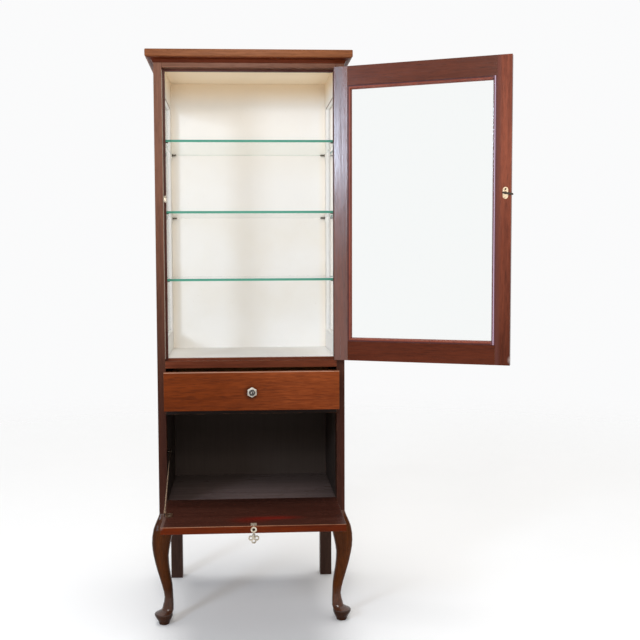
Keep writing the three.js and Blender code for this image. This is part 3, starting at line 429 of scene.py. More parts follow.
def wood(graph, along, tones, shift, rough, flecking=FLECKING):
    """Straight-grained mahogany: broad figure, fine streaks, flecks and short dark pores."""
    long_grain = graph.stretched(along, FIGURE_RATIO, shift)
    broad = graph.noise(long_grain, FIGURE_SCALE, detail=4.0, roughness=0.55, distortion=0.5)
    flecks = graph.noise(long_grain, FLECK_SCALE, detail=3.0, roughness=0.6)
    figure = graph.step(graph.blend(flecking, broad, flecks), 0.3, 0.7)
    fine_grain = graph.stretched(along, STREAK_RATIO, shift)
    lines = graph.noise(fine_grain, STREAK_SCALE, detail=5.0, roughness=0.6, distortion=0.2)
    streaks = graph.step(lines, 0.38, 0.72)
    short_grain = graph.stretched(along, PORE_RATIO, shift)
    pores = graph.step(graph.noise(short_grain, PORE_SCALE), 0.58, 0.7)
    smudge = graph.noise(graph.place, SMUDGE_SCALE, detail=3.0, roughness=0.6)
    colour = graph.mix(figure, *tones)
    colour = graph.mix(graph.scaled(streaks, 0.3 - flecking * 0.2), colour, PORE)
    colour = graph.mix(graph.scaled(pores, 0.35), colour, PORE)
    uneven = graph.math("ADD", graph.scaled(smudge, 0.16), graph.scaled(streaks, 0.1))
    roughness = graph.math("ADD", uneven, rough - UNEVEN_MEAN)
    height = graph.math("SUBTRACT", graph.scaled(streaks, -0.35), graph.scaled(pores, 0.65))
    return Recipe(colour, roughness, height)


CORNER_WIDTH = 0.026
CORNER_SHADE = 0.3


def corner_shade(graph):
    """Rises in the upright corners of the back: painted shade, in the tone of yellowed paint."""
    across = graph.along(X)
    left = graph.step(across, INSIDE["left"] + CORNER_WIDTH, INSIDE["left"])
    right = graph.step(across, INSIDE["right"] - CORNER_WIDTH, INSIDE["right"])
    on_back = graph.math("GREATER_THAN", graph.along(Y), BACK_Y - EPS)
    return graph.scaled(graph.math("MULTIPLY", graph.math("MAXIMUM", left, right), on_back), CORNER_SHADE)


STROKE_SCALE = 160.0
STROKE_RATIO = 0.04
YELLOWING_SCALE = 5.0
SPECK_SCALE = 240.0
CEILING_SHADE_BAND = 0.08
PAINT_ROUGH = 0.45


def paint(graph):
    """Brushed cream paint: faint upright strokes, uneven yellowing and a few specks, with painted shade in a
    yellowed tone under the ceiling and in the corners of the back.
    """
    strokes = graph.noise(graph.stretched(Z, STROKE_RATIO), STROKE_SCALE, detail=3.0, roughness=0.6)
    yellow = graph.step(graph.noise(graph.place, YELLOWING_SCALE, detail=4.0, roughness=0.6), 0.45, 0.8)
    specks = graph.step(graph.noise(graph.place, SPECK_SCALE, detail=1.0), 0.77, 0.8)
    # Painted shade under the ceiling, in the tone of yellowed paint
    yellowed_shade = graph.step(graph.along(Z), CEILING - CEILING_SHADE_BAND, CEILING)
    colour = graph.mix(graph.scaled(yellow, 0.4), *CREAM_TONES)
    colour = graph.mix(graph.math("MAXIMUM", yellowed_shade, corner_shade(graph)), colour, YELLOWED_SHADE_CREAM)
    colour = graph.mix(graph.scaled(specks, 0.3), colour, SPECK)
    roughness = graph.math("ADD", graph.scaled(strokes, 0.2), PAINT_ROUGH - UNEVEN_MEAN)
    return Recipe(colour, roughness, strokes)


STAIN_GRAIN_SCALE = 150.0
STAIN_GRAIN_RATIO = 0.05
STAIN_CLOUD_SCALE = 6.0
STAIN_ROUGH = 0.4


def stain(graph):
    """Dark stain inside the lower part: close grained, with soft clouds."""
    grain = graph.noise(graph.stretched(Z, STAIN_GRAIN_RATIO), STAIN_GRAIN_SCALE, detail=3.0, roughness=0.6)
    cloud = graph.noise(graph.place, STAIN_CLOUD_SCALE, detail=3.0)
    lines = graph.scaled(graph.step(grain, 0.4, 0.8), 0.12)
    colour = graph.mix(lines, graph.mix(cloud, *DARK_TONES), PORE)
    return Recipe(colour, graph.math("ADD", graph.scaled(cloud, 0.2), STAIN_ROUGH), grain)


def layered(graph, bottom, mask, top):
    """One recipe over another, where mask is 1."""
    return Recipe(
        graph.mix(mask, bottom.colour, top.colour),
        graph.blend(mask, bottom.rough, top.rough),
        graph.blend(mask, bottom.height, top.height),
    )


WEAR_RADIUS = 0.0018
WEAR_SCALE = 38.0


def worn_edge(graph, amount):
    """Rises to amount near the edges of the piece, broken up so that the wear looks chance."""
    facing = graph.measure("DOT_PRODUCT", graph.soft_normal(WEAR_RADIUS), graph.normal)
    edge = graph.step(facing, 0.98, 0.84)
    broken = graph.step(graph.noise(graph.place, WEAR_SCALE, detail=4.0, roughness=0.65), 0.4, 0.62)
    return graph.scaled(graph.math("MULTIPLY", edge, broken), amount)


# A change of tones along a direction, from the first tones at start to these at end
Fade = namedtuple("Fade", "along start end tones")

# What covers the wood in a layer, other than tones
PAINTED = "painted"
STAINED = "stained"

COAT_ROUGH = 0.08


def mahogany(name, along, tones, shift, rough=0.3, gloss=0.06, wear=0.5, flecking=FLECKING,
             fade=None, layers=(), marks=(), coat=None):
    """Varnished wood. shift moves the grain. layers are pairs of a box and what covers the wood there, and
    marks are pairs of a function from the graph to a mask, and a colour. coat is such a function too, for
    where the varnish is polished."""
    graph = Graph.material(name)
    if fade:
        share = graph.step(graph.along(fade.along), fade.start, fade.end)
        tones = [graph.mix(share, near, far) for near, far in zip(tones, fade.tones)]
    recipe = wood(graph, along, tones, shift, rough, flecking)
    for box, cover in layers:
        if cover == PAINTED:
            top = paint(graph)
        elif cover == STAINED:
            top = stain(graph)
        else:
            top = wood(graph, along, cover, shift, rough)
        recipe = layered(graph, recipe, graph.zone(*box), top)
    colour = recipe.colour
    if wear:
        colour = graph.mix(worn_edge(graph, wear), colour, WORN)
    for mask, tint in marks:
        colour = graph.mix(mask(graph), colour, tint)
    constants = {"Specular IOR Level": gloss}
    if coat:
        constants.update({"Coat Weight": coat(graph), "Coat Roughness": COAT_ROUGH})
    return graph.surface(graph.dressed(recipe._replace(colour=colour), constants))


TARNISH_SCALE = 140.0
METAL_SCRATCH_SCALE = 900.0
METAL_SCRATCH_RATIO = 0.08


def metal(name, tones, rough, shine=1.0, painted=()):
    """Worn metal: patches of tarnish and fine scratches, and cream paint inside the boxes. A shine under
    1 is the dull skin of old metal."""
    graph = Graph.material(name)
    patches = graph.step(graph.noise(graph.place, TARNISH_SCALE, detail=5.0, roughness=0.65), 0.4, 0.72)
    scratches = graph.noise(graph.stretched(X, METAL_SCRATCH_RATIO), METAL_SCRATCH_SCALE)
    roughness = graph.math("ADD", graph.scaled(patches, 0.2), rough)
    recipe = Recipe(graph.mix(patches, *tones), roughness, scratches)
    bare = shine
    for box in painted:
        mask = graph.zone(*box)
        recipe = layered(graph, recipe, mask, paint(graph))
        bare = graph.math("MULTIPLY", bare, graph.math("SUBTRACT", 1.0, mask))
    return graph.surface(graph.dressed(recipe, {"Metallic": bare}, bump=0.12, depth=0.0002, edge=0.0006))


def lets_light_through(graph, shader, tint):
    """Lamp light and bounced light pass straight through the glass, and take its tint."""
    light = graph.add("ShaderNodeLightPath").outputs
    through = graph.math("MAXIMUM", light["Is Shadow Ray"], light["Is Diffuse Ray"])
    return graph.either(through, shader, graph.clear(tint))


SMEAR_SCALE = 14.0
SMEAR_ROUGH = 0.03


def glass(graph, tint):
    """Clear glass with faint wiping smears."""
    smears = graph.step(graph.noise(graph.place, SMEAR_SCALE, detail=4.0, roughness=0.6), 0.5, 0.8)
    return graph.principled({
        "Base Color": tint, "Roughness": graph.scaled(smears, SMEAR_ROUGH),
        "IOR": 1.45, "Transmission Weight": 1.0,
    })


def pane_glass():
    graph = Graph.material("pane_glass")
    return graph.surface(lets_light_through(graph, glass(graph, PANE_TINT), PANE_LIGHT))


RIPPLE_SCALE = 60.0
RIPPLE_RATIO = 0.2


def shelf_glass():
    """Shelf glass: clear through its faces, deep green in its cut edges, paler at the back."""
    graph = Graph.material("shelf_glass")
    _, backward, upward = graph.axes(graph.normal)
    on_edge = graph.math("LESS_THAN", graph.math("ABSOLUTE", upward), 0.5)
    at_back = graph.math("GREATER_THAN", backward, 0.5)
    ripple = graph.noise(graph.stretched(X, RIPPLE_RATIO), RIPPLE_SCALE, detail=3.0, roughness=0.6)
    deep = graph.mix(at_back, graph.mix(ripple, *SHELF_EDGE_TONES), SHELF_BACK_EDGE)
    cut = graph.principled({"Base Color": deep, "Roughness": 0.5, "Specular IOR Level": 0.05})
    shader = graph.either(on_edge, glass(graph, SHELF_TINT), cut)
    return graph.surface(lets_light_through(graph, shader, SHELF_LIGHT))


KNOB_CORE = 0.0088
VEIN_SCALE = 260.0
PAINTED_GLINT_SCALE = 420.0


def knob_glass(name, centre, axis):
    """Pressed glass: bright where it is thick at the rim, and dark over the bolt in its core, with painted glints
    in the middle.
    """
    graph = Graph.material(name)
    offset = graph.vector("SUBTRACT", graph.place, centre)
    radius = graph.measure("LENGTH", graph.vector("CROSS_PRODUCT", offset, axis))
    rim = graph.step(radius, KNOB_CORE * 0.8, KNOB_CORE * 1.15)
    veins = graph.step(graph.noise(graph.place, VEIN_SCALE), 0.3, 0.7)
    # Painted glints in the middle of the knob
    painted_glints = graph.step(graph.noise(graph.place, PAINTED_GLINT_SCALE, detail=1.0), 0.5, 0.66)
    middle = graph.math("MULTIPLY", graph.step(radius, KNOB_CORE * 0.7, KNOB_CORE * 0.2), painted_glints)
    colour = graph.mix(rim, graph.mix(middle, *KNOB_CORE_AND_GLINT_TONES), graph.mix(veins, *KNOB_RIM_TONES))
    return graph.surface(graph.principled({
        "Base Color": colour, "Roughness": 0.06, "IOR": 1.5,
        "Transmission Weight": graph.scaled(rim, 0.35),
    }))


def give(material, *names):
    """Sets the material of some pieces."""
    for name in names:
        data = nodes[name].data
        data.materials.clear()
        data.materials.append(material)


# Finishes of the case


def dress_top():
    """The cornice, with its ceiling painted and painted shade on its cove, and the rail over the door, with
    painted shade on its stop.
    """
    # Painted shade: darker tones on the cove under the top board
    cove_shade = region(top=CORNICE[1].z - TOP_BOARD - EPS)
    ceiling = region(
        left=INSIDE["left"] - EPS, right=INSIDE["right"] + EPS,
        front=FRONT_Y + STOP_DEPTH, back=BACK_Y + EPS, top=CEILING + EPS,
    )
    give(mahogany("cornice_wood", X, CORNICE_TONES, shift=0.3, layers=[
        (cove_shade, COVE_SHADE_TONES), (ceiling, PAINTED),
    ]), "cornice_top")
    # Painted shade: the stop under the rail is darker
    head = region(top=TOP_RAIL[0].z + STOP_LIP - EPS)
    give(mahogany("top_rail_wood", X, POST_TONES, shift=0.9, layers=[(head, STOP_SHADE_TONES)]), "top_rail")


# Where the dust and the painted sheen lie on the feet
DUST_AND_SHEEN_TOP = 0.045
DUST_AND_SHEEN_AMOUNT = 0.08
ANKLE_POLISH = (0.024, 0.03, 0.06, 0.1)
ANKLE_AMOUNT = 0.6
KNEE_POLISH = (0.285, 0.31, 0.37, 0.39)
FOOT_TOP = 0.03
LEG_FADE_HALF = 0.1


def foot_dust_and_sheen(graph):
    """Dust and a painted sheen on the top of the pad feet."""
    upward = graph.axes(graph.normal)[2]
    low = graph.math("LESS_THAN", graph.along(Z), DUST_AND_SHEEN_TOP)
    return graph.scaled(graph.math("MULTIPLY", graph.step(upward, 0.45, 0.95), low), DUST_AND_SHEEN_AMOUNT)


def leg_polish(graph):
    """Where hands and dusters have polished the legs: at the ankle and over the knee."""
    rise = graph.along(Z)
    ankle = graph.scaled(graph.band(rise, *ANKLE_POLISH), ANKLE_AMOUNT)
    return graph.math("MAXIMUM", ankle, graph.band(rise, *KNEE_POLISH))


def dress_legs():
    """The cabriole legs: dark feet, and a slightly lighter wood in the right one."""
    fade = Fade(X, CENTRE_X - LEG_FADE_HALF, CENTRE_X + LEG_FADE_HALF, RIGHT_LEG_TONES)
    give(mahogany(
        "leg_wood", Z, LEG_TONES, shift=2.9, rough=0.24, gloss=0.08, wear=0.2, fade=fade,
        layers=[(region(top=FOOT_TOP), FOOT_TONES)], marks=[(foot_dust_and_sheen, DUST_AND_SHEEN)], coat=leg_polish,
    ), "front_leg_left", "front_leg_right")


# Painted shade on the floor of the lower part
SHADE_FROM_FRONT = 0.1
SHADE_FROM_BACK = 0.01
BACK_SHADE_AMOUNT = 0.75
SHADE_CENTRE_OFFSET = 0.03
SHADE_ASIDE = (0.08, 0.24)
SIDE_SHADE_AMOUNT = 0.35


def shade_to_back(graph):
    """Painted shade: the floor of the lower part darkens towards its back."""
    share = graph.step(graph.along(Y), FRONT_Y + SHADE_FROM_FRONT, BACK_Y - SHADE_FROM_BACK)
    return graph.scaled(share, BACK_SHADE_AMOUNT)


def shade_to_sides(graph):
    """Painted shade: the same floor darkens towards its sides."""
    aside = graph.math("ABSOLUTE", graph.math("SUBTRACT", graph.along(X), CENTRE_X + SHADE_CENTRE_OFFSET))
    return graph.scaled(graph.step(aside, *SHADE_ASIDE), SIDE_SHADE_AMOUNT)


def dress_boards():
    """The back and the three boards, each with the finish of the part of the case that it faces; the board under
    the drawer has painted shadow on its front edge, and the lower floor painted shade.
    """
    inner_face = BACK_Y + EPS
    give(mahogany("back_wood", Z, PALE_TONES, shift=6.1, rough=0.6, layers=[
        (region(back=inner_face, bottom=GLAZED_FLOOR), PAINTED),
        (region(back=inner_face, top=UPPER_FLOOR[0].z), STAINED),
    ]), "back_panel")
    give(mahogany("upper_floor_wood", X, RAIL_TONES, shift=6.7, layers=[
        (region(front=FRONT_Y + STOP_DEPTH - EPS, bottom=GLAZED_FLOOR - EPS), PAINTED),
    ]), "upper_floor")
    # The drawer board's front edge takes painted shadow from the drawer above it
    give(mahogany("drawer_board_wood", X, DARK_TONES, shift=7.3, rough=0.45, layers=[
        (region(back=DRAWER_BOARD[0].y + EPS), DRAWER_SHADOW_TONES),
    ]), "drawer_board")
    # Painted shade on the lower floor, darker towards its back and sides
    give(mahogany("lower_floor_wood", X, LOWER_BOARD_TONES, shift=7.9, marks=[
        (shade_to_back, DARK_TONES[0]), (shade_to_sides, DARK_TONES[0]),
    ]), "lower_floor")


# Heights of the painted shade that darkens the frame towards the floor
SHADE_FADE_BOTTOM = 0.5
SHADE_FADE_TOP = 1.3
POST_SHIFT = 4
PAINT_DEPTH = 0.011


def shaded_downwards(tones):
    """A fade from the lower to the upper part of the cabinet: painted shade, darker low down where less light
    falls.
    """
    return Fade(Z, SHADE_FADE_BOTTOM, SHADE_FADE_TOP, tones)


def dress_post(side):
    """A front post: a dark stop strip on its lip, which is painted shade, and a pale strip on its inner face,
    which is a painted highlight.
    """
    if side == "left":
        post = POST_LEFT
        inner = post[1].x - STOP_LIP
        lip = region(left=inner + EPS)
    else:
        post = POST_RIGHT
        inner = post[0].x + STOP_LIP
        lip = region(right=inner - EPS)
    # Painted highlight: a pale strip on the post's inner face, where it would catch the light
    rebate_highlight = region(
        left=inner - EPS, right=inner + EPS, back=FRONT_Y + REBATE_DEPTH,
        bottom=UPPER_FLOOR[1].z, top=TOP_RAIL[0].z,
    )
    # The stop lip takes darker tones as painted shade
    give(mahogany(
        f"post_wood_{side}", Z, POST_SHADED_FOOT_TONES, shift=post[0].x * POST_SHIFT,
        fade=shaded_downwards(POST_TONES), layers=[(lip, STOP_SHADE_TONES), (rebate_highlight, REBATE_HIGHLIGHT_TONES)],
    ), f"front_post_{side}")


def dress_side(side):
    """One side of the case: mahogany outside, cream inside the glazed part, dark inside below it."""
    inner = INSIDE[side]
    outward = -1 if side == "left" else 1
    skin = sorted((inner - outward * EPS, inner + outward * PAINT_DEPTH))
    face = sorted((inner - outward * EPS, inner + outward * EPS))
    glazed = region(*skin, back=BACK_Y, bottom=GLAZED_FLOOR)
    below = region(*face, back=BACK_Y, bottom=LOWER_FLOOR[0].z, top=UPPER_FLOOR[0].z)
    layers = [(glazed, PAINTED), (below, STAINED)]
    give(mahogany(f"side_wood_{side}", Z, DOOR_TONES, shift=4.1, layers=layers), f"side_panel_{side}")
    give(mahogany(
        f"rear_post_wood_{side}", Z, REAR_LEG_TONES, shift=5.3, rough=0.4, layers=layers,
    ), f"rear_post_{side}")


def dress_case():
    dress_top()
    dress_legs()
    dress_boards()
    for side in ("left", "right"):
        dress_post(side)
        dress_side(side)


# Finishes of the door

SCRATCH_FROM_END = 0.078
SCRATCH_FROM_TOP = 0.012
SCRATCH_DROP = 0.026
SCRATCH_LEAN = 0.004
SCRATCH_WIDTH = 0.0012


def dress_door():
    """The door's frame: a glossy hinge stile, and a scratch in the top rail."""
    give(mahogany("door_stile_wood", Z, DOOR_TONES, shift=8.3, rough=0.2, gloss=0.75), "door_hinge_stile")
    dress_free_stile()
    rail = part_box("door_top_rail")
    corner = Vector((rail[1].x, rail[0].y, rail[1].z))
    start = corner - DOOR_ALONG * SCRATCH_FROM_END - Z * SCRATCH_FROM_TOP
    end = start - Z * SCRATCH_DROP - DOOR_ALONG * SCRATCH_LEAN

    def scratch(graph):
        return graph.line(start, end, SCRATCH_WIDTH)

    give(mahogany(
        "door_top_wood", DOOR_ALONG, DOOR_TONES, shift=9.7, rough=0.24, gloss=0.12,
        marks=[(scratch, SCRATCH)],
    ), "door_top_rail")
    # Painted shade: darker tones on the bottom rail, low down where less light falls
    give(mahogany(
        "door_bottom_wood", DOOR_ALONG, DOOR_SHADED_FOOT_TONES, shift=9.9, rough=0.28,
    ), "door_bottom_rail")
    dress_bead()


# Where the free stile turns darker next to the bead
NEAR_BEAD_BAND = (0.021, 0.01)
NEAR_BEAD_AMOUNT = 0.7
CHIP_FROM_CORNER = Vector((-0.004, 0.012, 0.014))
CHIP_HALF_SIZES = (0.012, 0.02, 0.018)
CHIP_DEPTHS = (0.009, 0.005)


def dress_free_stile():
    """The stile on the latch side: darker along the bead, and a chip at its foot."""
    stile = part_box("door_latch_stile")
    corner = Vector((stile[1].x, stile[0].y, stile[0].z))
    inner = span("door_latch_stile", DOOR_ALONG)[0]
    face = span("door_latch_stile", LATCH_AXIS)[0]

    def darker_near_bead(graph):
        share = graph.step(graph.along(DOOR_ALONG), *(inner + width for width in NEAR_BEAD_BAND))
        return graph.scaled(share, NEAR_BEAD_AMOUNT)

    def chip(graph):
        near_face = graph.step(graph.along(LATCH_AXIS), *(face + depth for depth in CHIP_DEPTHS))
        spot = graph.blob(corner + CHIP_FROM_CORNER, CHIP_HALF_SIZES)
        return graph.math("MULTIPLY", near_face, spot)

    give(mahogany(
        "door_free_stile_wood", Z, FREE_STILE_SHADED_FOOT_TONES, shift=9.1, rough=0.28,
        fade=shaded_downwards(FREE_STILE_TONES), marks=[(darker_near_bead, NEAR_BEAD_DARK), (chip, CHIP)],
    ), "door_latch_stile")


GROOVE_DEPTHS = (0.0042, 0.0032)
FREE_SIDE_SHADE_BAND = (0.011, 0.0105)
HIGHLIGHT_FROM_END = 0.0042
HIGHLIGHT_WIDTHS = (0.0014, 0.0005)


def dress_bead():
    """The bead round the door's pane: a dirty groove along its outside, and on the free side a painted
    mauve shade with a painted highlight along it."""
    start, end = span("door_bead", DOOR_ALONG)
    low, high = span("door_bead", Z)

    def groove(graph):
        return graph.step(graph.frame_depth(DOOR_ALONG, start, end, low, high), *GROOVE_DEPTHS)

    # Painted shade: mauve on the free side of the bead
    def free_side_shade(graph):
        return graph.step(graph.along(DOOR_ALONG), *(end - width for width in FREE_SIDE_SHADE_BAND))

    # Painted highlight: a bright line along the bead
    def arris_highlight(graph):
        depth = graph.math("SUBTRACT", end - HIGHLIGHT_FROM_END, graph.along(DOOR_ALONG))
        return graph.step(graph.math("ABSOLUTE", depth), *HIGHLIGHT_WIDTHS)

    give(mahogany("door_bead_wood", Z, BEAD_TONES, shift=10.3, rough=0.24, gloss=0.12, marks=[
        (groove, GROOVE), (free_side_shade, MAUVE_SHADE), (arris_highlight, ARRIS_HIGHLIGHT),
    ]), "door_bead")


# Finishes of the drawer and the flap

DRAWER_HIGHLIGHT_HEIGHT = 0.0013
DRAWER_HIGHLIGHT_DEPTH = 0.003
DRAWER_FADE_INSET = 0.1
# A painted shadow round the knob, set a little low and to the left of it
KNOB_SHADOW_OFFSET = Vector((-0.003, 0, -0.004))
KNOB_SHADOW_HALF_SIZES = (0.024, 0.006, 0.024)
KNOB_SHADOW_AMOUNT = 0.75


def dress_drawer():
    """The drawer: its front redder to the right, with a painted highlight along its top edge and a painted shadow
    round the knob.
    """
    front = DRAWER[0].y
    # Painted highlight: pale tones along the top edge of the drawer front
    arris_highlight = region(back=front + DRAWER_HIGHLIGHT_DEPTH, bottom=DRAWER[1].z - DRAWER_HIGHLIGHT_HEIGHT)
    fade = Fade(X, DRAWER[0].x + DRAWER_FADE_INSET, DRAWER[1].x - DRAWER_FADE_INSET, DRAWER_RIGHT_TONES)
    knob = (DRAWER_KNOB[0] + DRAWER_KNOB[1]) / 2
    # Centre of the painted shadow of the knob
    behind = Vector((knob.x, front, knob.z)) + KNOB_SHADOW_OFFSET

    def knob_shadow(graph):
        return graph.scaled(graph.blob(behind, KNOB_SHADOW_HALF_SIZES), KNOB_SHADOW_AMOUNT)

    give(mahogany(
        "drawer_wood", X, DRAWER_TONES, shift=11.1, rough=0.36, flecking=0.55, fade=fade,
        layers=[(arris_highlight, DRAWER_EDGE_HIGHLIGHT_TONES)], marks=[(knob_shadow, KNOB_SHADOW)],
    ), "drawer_front")
    give(mahogany("drawer_box_wood", Y, PALE_TONES, shift=11.9, rough=0.6, wear=0),
         "drawer_side_left", "drawer_side_right", "drawer_back", "drawer_bottom")


FLAP_SKIN = 0.0012
# A painted red reflection on the flap, as two soft patches
DARK_REFLECTION_PLACE = Vector((-0.008, 0.052, 0))
DARK_REFLECTION_HALF_SIZES = (0.075, 0.04, 0.01)
DARK_REFLECTION_AMOUNT = 0.42
RED_REFLECTION_PLACE = Vector((0.055, 0.066, 0))
RED_REFLECTION_HALF_SIZES = (0.095, 0.026, 0.01)
RED_REFLECTION_AMOUNT = 0.3
END_REFLECTION_LENGTH = 0.09
END_REFLECTION_WIDTH = 0.009
END_REFLECTION_AMOUNT = 0.55


def dress_flap():
    """The let-down flap: redder on its edge, with a painted highlight on its front edge, and painted reflections
    at its left end and in its varnish.
    """
    front, top = FLAP[0].y, FLAP[1].z
    middle = Vector((CENTRE_X, front, top))
    end = Vector((FLAP[0].x, front, top))
    edge = region(back=front + FLAP_SKIN)
    # Painted highlight along the top of the front edge
    arris_highlight = region(back=front + FLAP_SKIN, bottom=top - FLAP_SKIN)

    # Painted reflection: dark red
    def dark_red_reflection(graph):
        reflection_mask = graph.blob(middle + DARK_REFLECTION_PLACE, DARK_REFLECTION_HALF_SIZES, core=0.0)
        return graph.scaled(reflection_mask, DARK_REFLECTION_AMOUNT)

    # Painted reflection: bright red
    def red_reflection(graph):
        reflection_mask = graph.blob(middle + RED_REFLECTION_PLACE, RED_REFLECTION_HALF_SIZES, core=0.0)
        return graph.scaled(reflection_mask, RED_REFLECTION_AMOUNT)

    # Painted reflection: a pale strip along the flap's left end
    def end_reflection(graph):
        stretch = graph.line(end, end + Y * END_REFLECTION_LENGTH, END_REFLECTION_WIDTH, core=0.5)
        return graph.scaled(stretch, END_REFLECTION_AMOUNT)

    give(mahogany(
        "flap_wood", X, FLAP_TONES, shift=12.7, rough=0.22,
        layers=[(edge, FLAP_EDGE_TONES), (arris_highlight, FLAP_EDGE_HIGHLIGHT_TONES)],
        marks=[(dark_red_reflection, DARK_RED_REFLECTION), (red_reflection, RED_REFLECTION), (end_reflection, FLAP_END_REFLECTION)],
    ), "flap_panel")


# Finishes of the fittings: a material for new pieces goes with the slot of the record that it stands for

Finish = namedtuple("Finish", "material slot")

BRACKET_PAINT = 0.002


def dress_fittings():
    """Metal and glass. Returns the finishes that the new pieces use."""
    silver = metal("worn_silver", SILVER_TONES, 0.24)
    plate = metal("plate_nickel", NICKEL_TONES, 0.36, shine=0.6)
    bronze = metal("dull_bronze", BRONZE_TONES, 0.36)
    pale_bronze = metal("pale_bronze", PALE_BRONZE_TONES, 0.3, shine=0.6)
    lock = metal("lock_silver", LOCK_TONES, 0.3, shine=0.5)
    steel = metal("dark_steel", STEEL_TONES, 0.36)
    iron = metal("bracket_iron", IRON_TONES, 0.4, painted=[
        region(right=INSIDE["left"] + BRACKET_PAINT),
        region(left=INSIDE["right"] - BRACKET_PAINT),
    ])
    slots = {"brass": bronze, "dark_steel": steel, "clear_glass": pane_glass()}
    for part in frame["record"]["subparts"]:
        if part["material_slot"] in slots:
            give(slots[part["material_slot"]], part["node"])
    give(iron, *[name for name in nodes if name.startswith("bracket_")])
    give(plate, "latch_plate")
    give(silver, "key", "drawer_knob_bolt")
    give(lock, "lock_case")
    give(pale_bronze, "stay_foot")
    give(steel, "stay_pin")
    give(shelf_glass(), "shelf_top", "shelf_middle", "shelf_bottom")
    give(knob_glass("drawer_knob_glass", (DRAWER_KNOB[0] + DRAWER_KNOB[1]) / 2, Y), "drawer_knob")
    give(knob_glass("latch_knob_glass", LATCH_PLACE, LATCH_AXIS), "latch_knob")
    return Finish(silver, "brass"), Finish(plate, "brass"), Finish(steel, "dark_steel")


# Rounded edges

EDGE_ROUND = 0.0012
EDGE_SEGMENTS = 2
SHARP_EDGE = math.radians(40)
WELD_DISTANCE = 1e-5


def soften(*names):
    """Rounds the sharp edges of flat-sided pieces, so that they catch the light."""
    for name in names:
        piece = nodes[name]
        piece.data.attributes.remove(piece.data.attributes["custom_normal"])
        piece.modifiers.new("weld", "WELD").merge_threshold = WELD_DISTANCE
        bevel = piece.modifiers.new("bevel", "BEVEL")
        bevel.width = EDGE_ROUND
        bevel.segments = EDGE_SEGMENTS
        bevel.limit_method = "ANGLE"
        bevel.angle_limit = SHARP_EDGE
        bevel.harden_normals = True
        for face in piece.data.polygons:
            face.use_smooth = True


# Small fittings


def fitting(name, points, faces, finish, body):
    """A new piece, which rides on a body."""
    mesh = bpy.data.meshes.new(name)
    mesh.from_pydata(points, [], faces)
    mesh.materials.append(finish.material)
    piece = link(name, mesh)
    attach(piece, body)


def ring_faces(count, rings, closed=False, flip=False):
    """The faces between rings of count points; closed joins the last ring to the first."""
    faces = []
    total = count * rings
    for ring in range(rings if closed else rings - 1):
        for i in range(count):
            a = ring * count + i
            b = ring * count + (i + 1) % count
            face = (a, b, (b + count) % total, (a + count) % total)
            faces.append(face[::-1] if flip else face)
    return faces


def cap_faces(count, rings, flip=False):
    """The faces that close the first and the last of the rings."""
    first = tuple(range(count))
    last = tuple(range((rings - 1) * count, rings * count))
    return [first, last[::-1]] if flip else [first[::-1], last]


BEAD_WIDTH = 0.006
BEAD_TIP = 0.003
UPPER_STRIP_BROWN_AMOUNT = 0.85


def bead_paint():
    """Cream paint, turning brown on the upper strips."""
    graph = Graph.material("bead_paint")
    recipe = paint(graph)
    top = graph.math("GREATER_THAN", graph.along(Z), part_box("side_glass_left")[1].z - BEAD_TIP - EPS)
    colour = graph.mix(graph.scaled(top, UPPER_STRIP_BROWN_AMOUNT), recipe.colour, UPPER_STRIP_BROWN)
    return graph.surface(graph.dressed(recipe._replace(colour=colour)))


def glazing_bead(side, finish):
    """Four mitred strips that hold a side pane, from the pane to the inner face of the side."""
    low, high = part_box(f"side_glass_{side}")
    pane = high.x if side == "left" else low.x
    face = INSIDE[side]
    levels = [(pane, 0.0), (face, 0.0), (face, BEAD_TIP), (pane, BEAD_WIDTH)]
    points = []
    for x, inset in levels:
        front, back = low.y + inset, high.y - inset
        bottom, top = low.z + inset, high.z - inset
        points += [(x, front, bottom), (x, back, bottom), (x, back, top), (x, front, top)]
    faces = ring_faces(4, len(levels), closed=True, flip=side == "right")
    fitting(f"glazing_bead_{side}", points, faces, finish, "case")


SCREW_SIDES = 16
# Rings of a screw's head: a share of its radius, and a share of its rise
SCREW_RINGS = ((1.0, 0.0), (0.95, 0.46), (0.6, 1.0))
# How high a head stands, as a share of its radius
SCREW_DOMED = 0.26
SCREW_LOW = 0.15
SCREW_FLUSH = 0.05


def screw(name, place, out, radius, finish, body, rise):
    """A screw head; rise is its height as a share of its radius."""
    turn = Z.rotation_difference(out).to_matrix()
    points = []
    for share, height in SCREW_RINGS:
        for i in range(SCREW_SIDES):
            angle = 2 * math.pi * i / SCREW_SIDES
            flat = Vector((share * math.cos(angle), share * math.sin(angle), height * rise)) * radius
            points.append(place + turn @ flat)
    rings = len(SCREW_RINGS)
    faces = cap_faces(SCREW_SIDES, rings) + ring_faces(SCREW_SIDES, rings)
    fitting(name, points, faces, finish, body)


STRIKE_WIDTH = 0.0056
STRIKE_HEIGHT = 0.018
STRIKE_THICKNESS = 0.0006
STRIKE_ROUND = 0.0015
ROUND_STEPS = 4
# Rings of the plate: a share of its thickness, and a share of its outline
STRIKE_RINGS = ((0.0, 1.0), (0.6, 1.0), (1.0, 0.94))
STRIKE_SCREW_RADIUS = 0.0013
STRIKE_SCREW_RISE = 0.0055


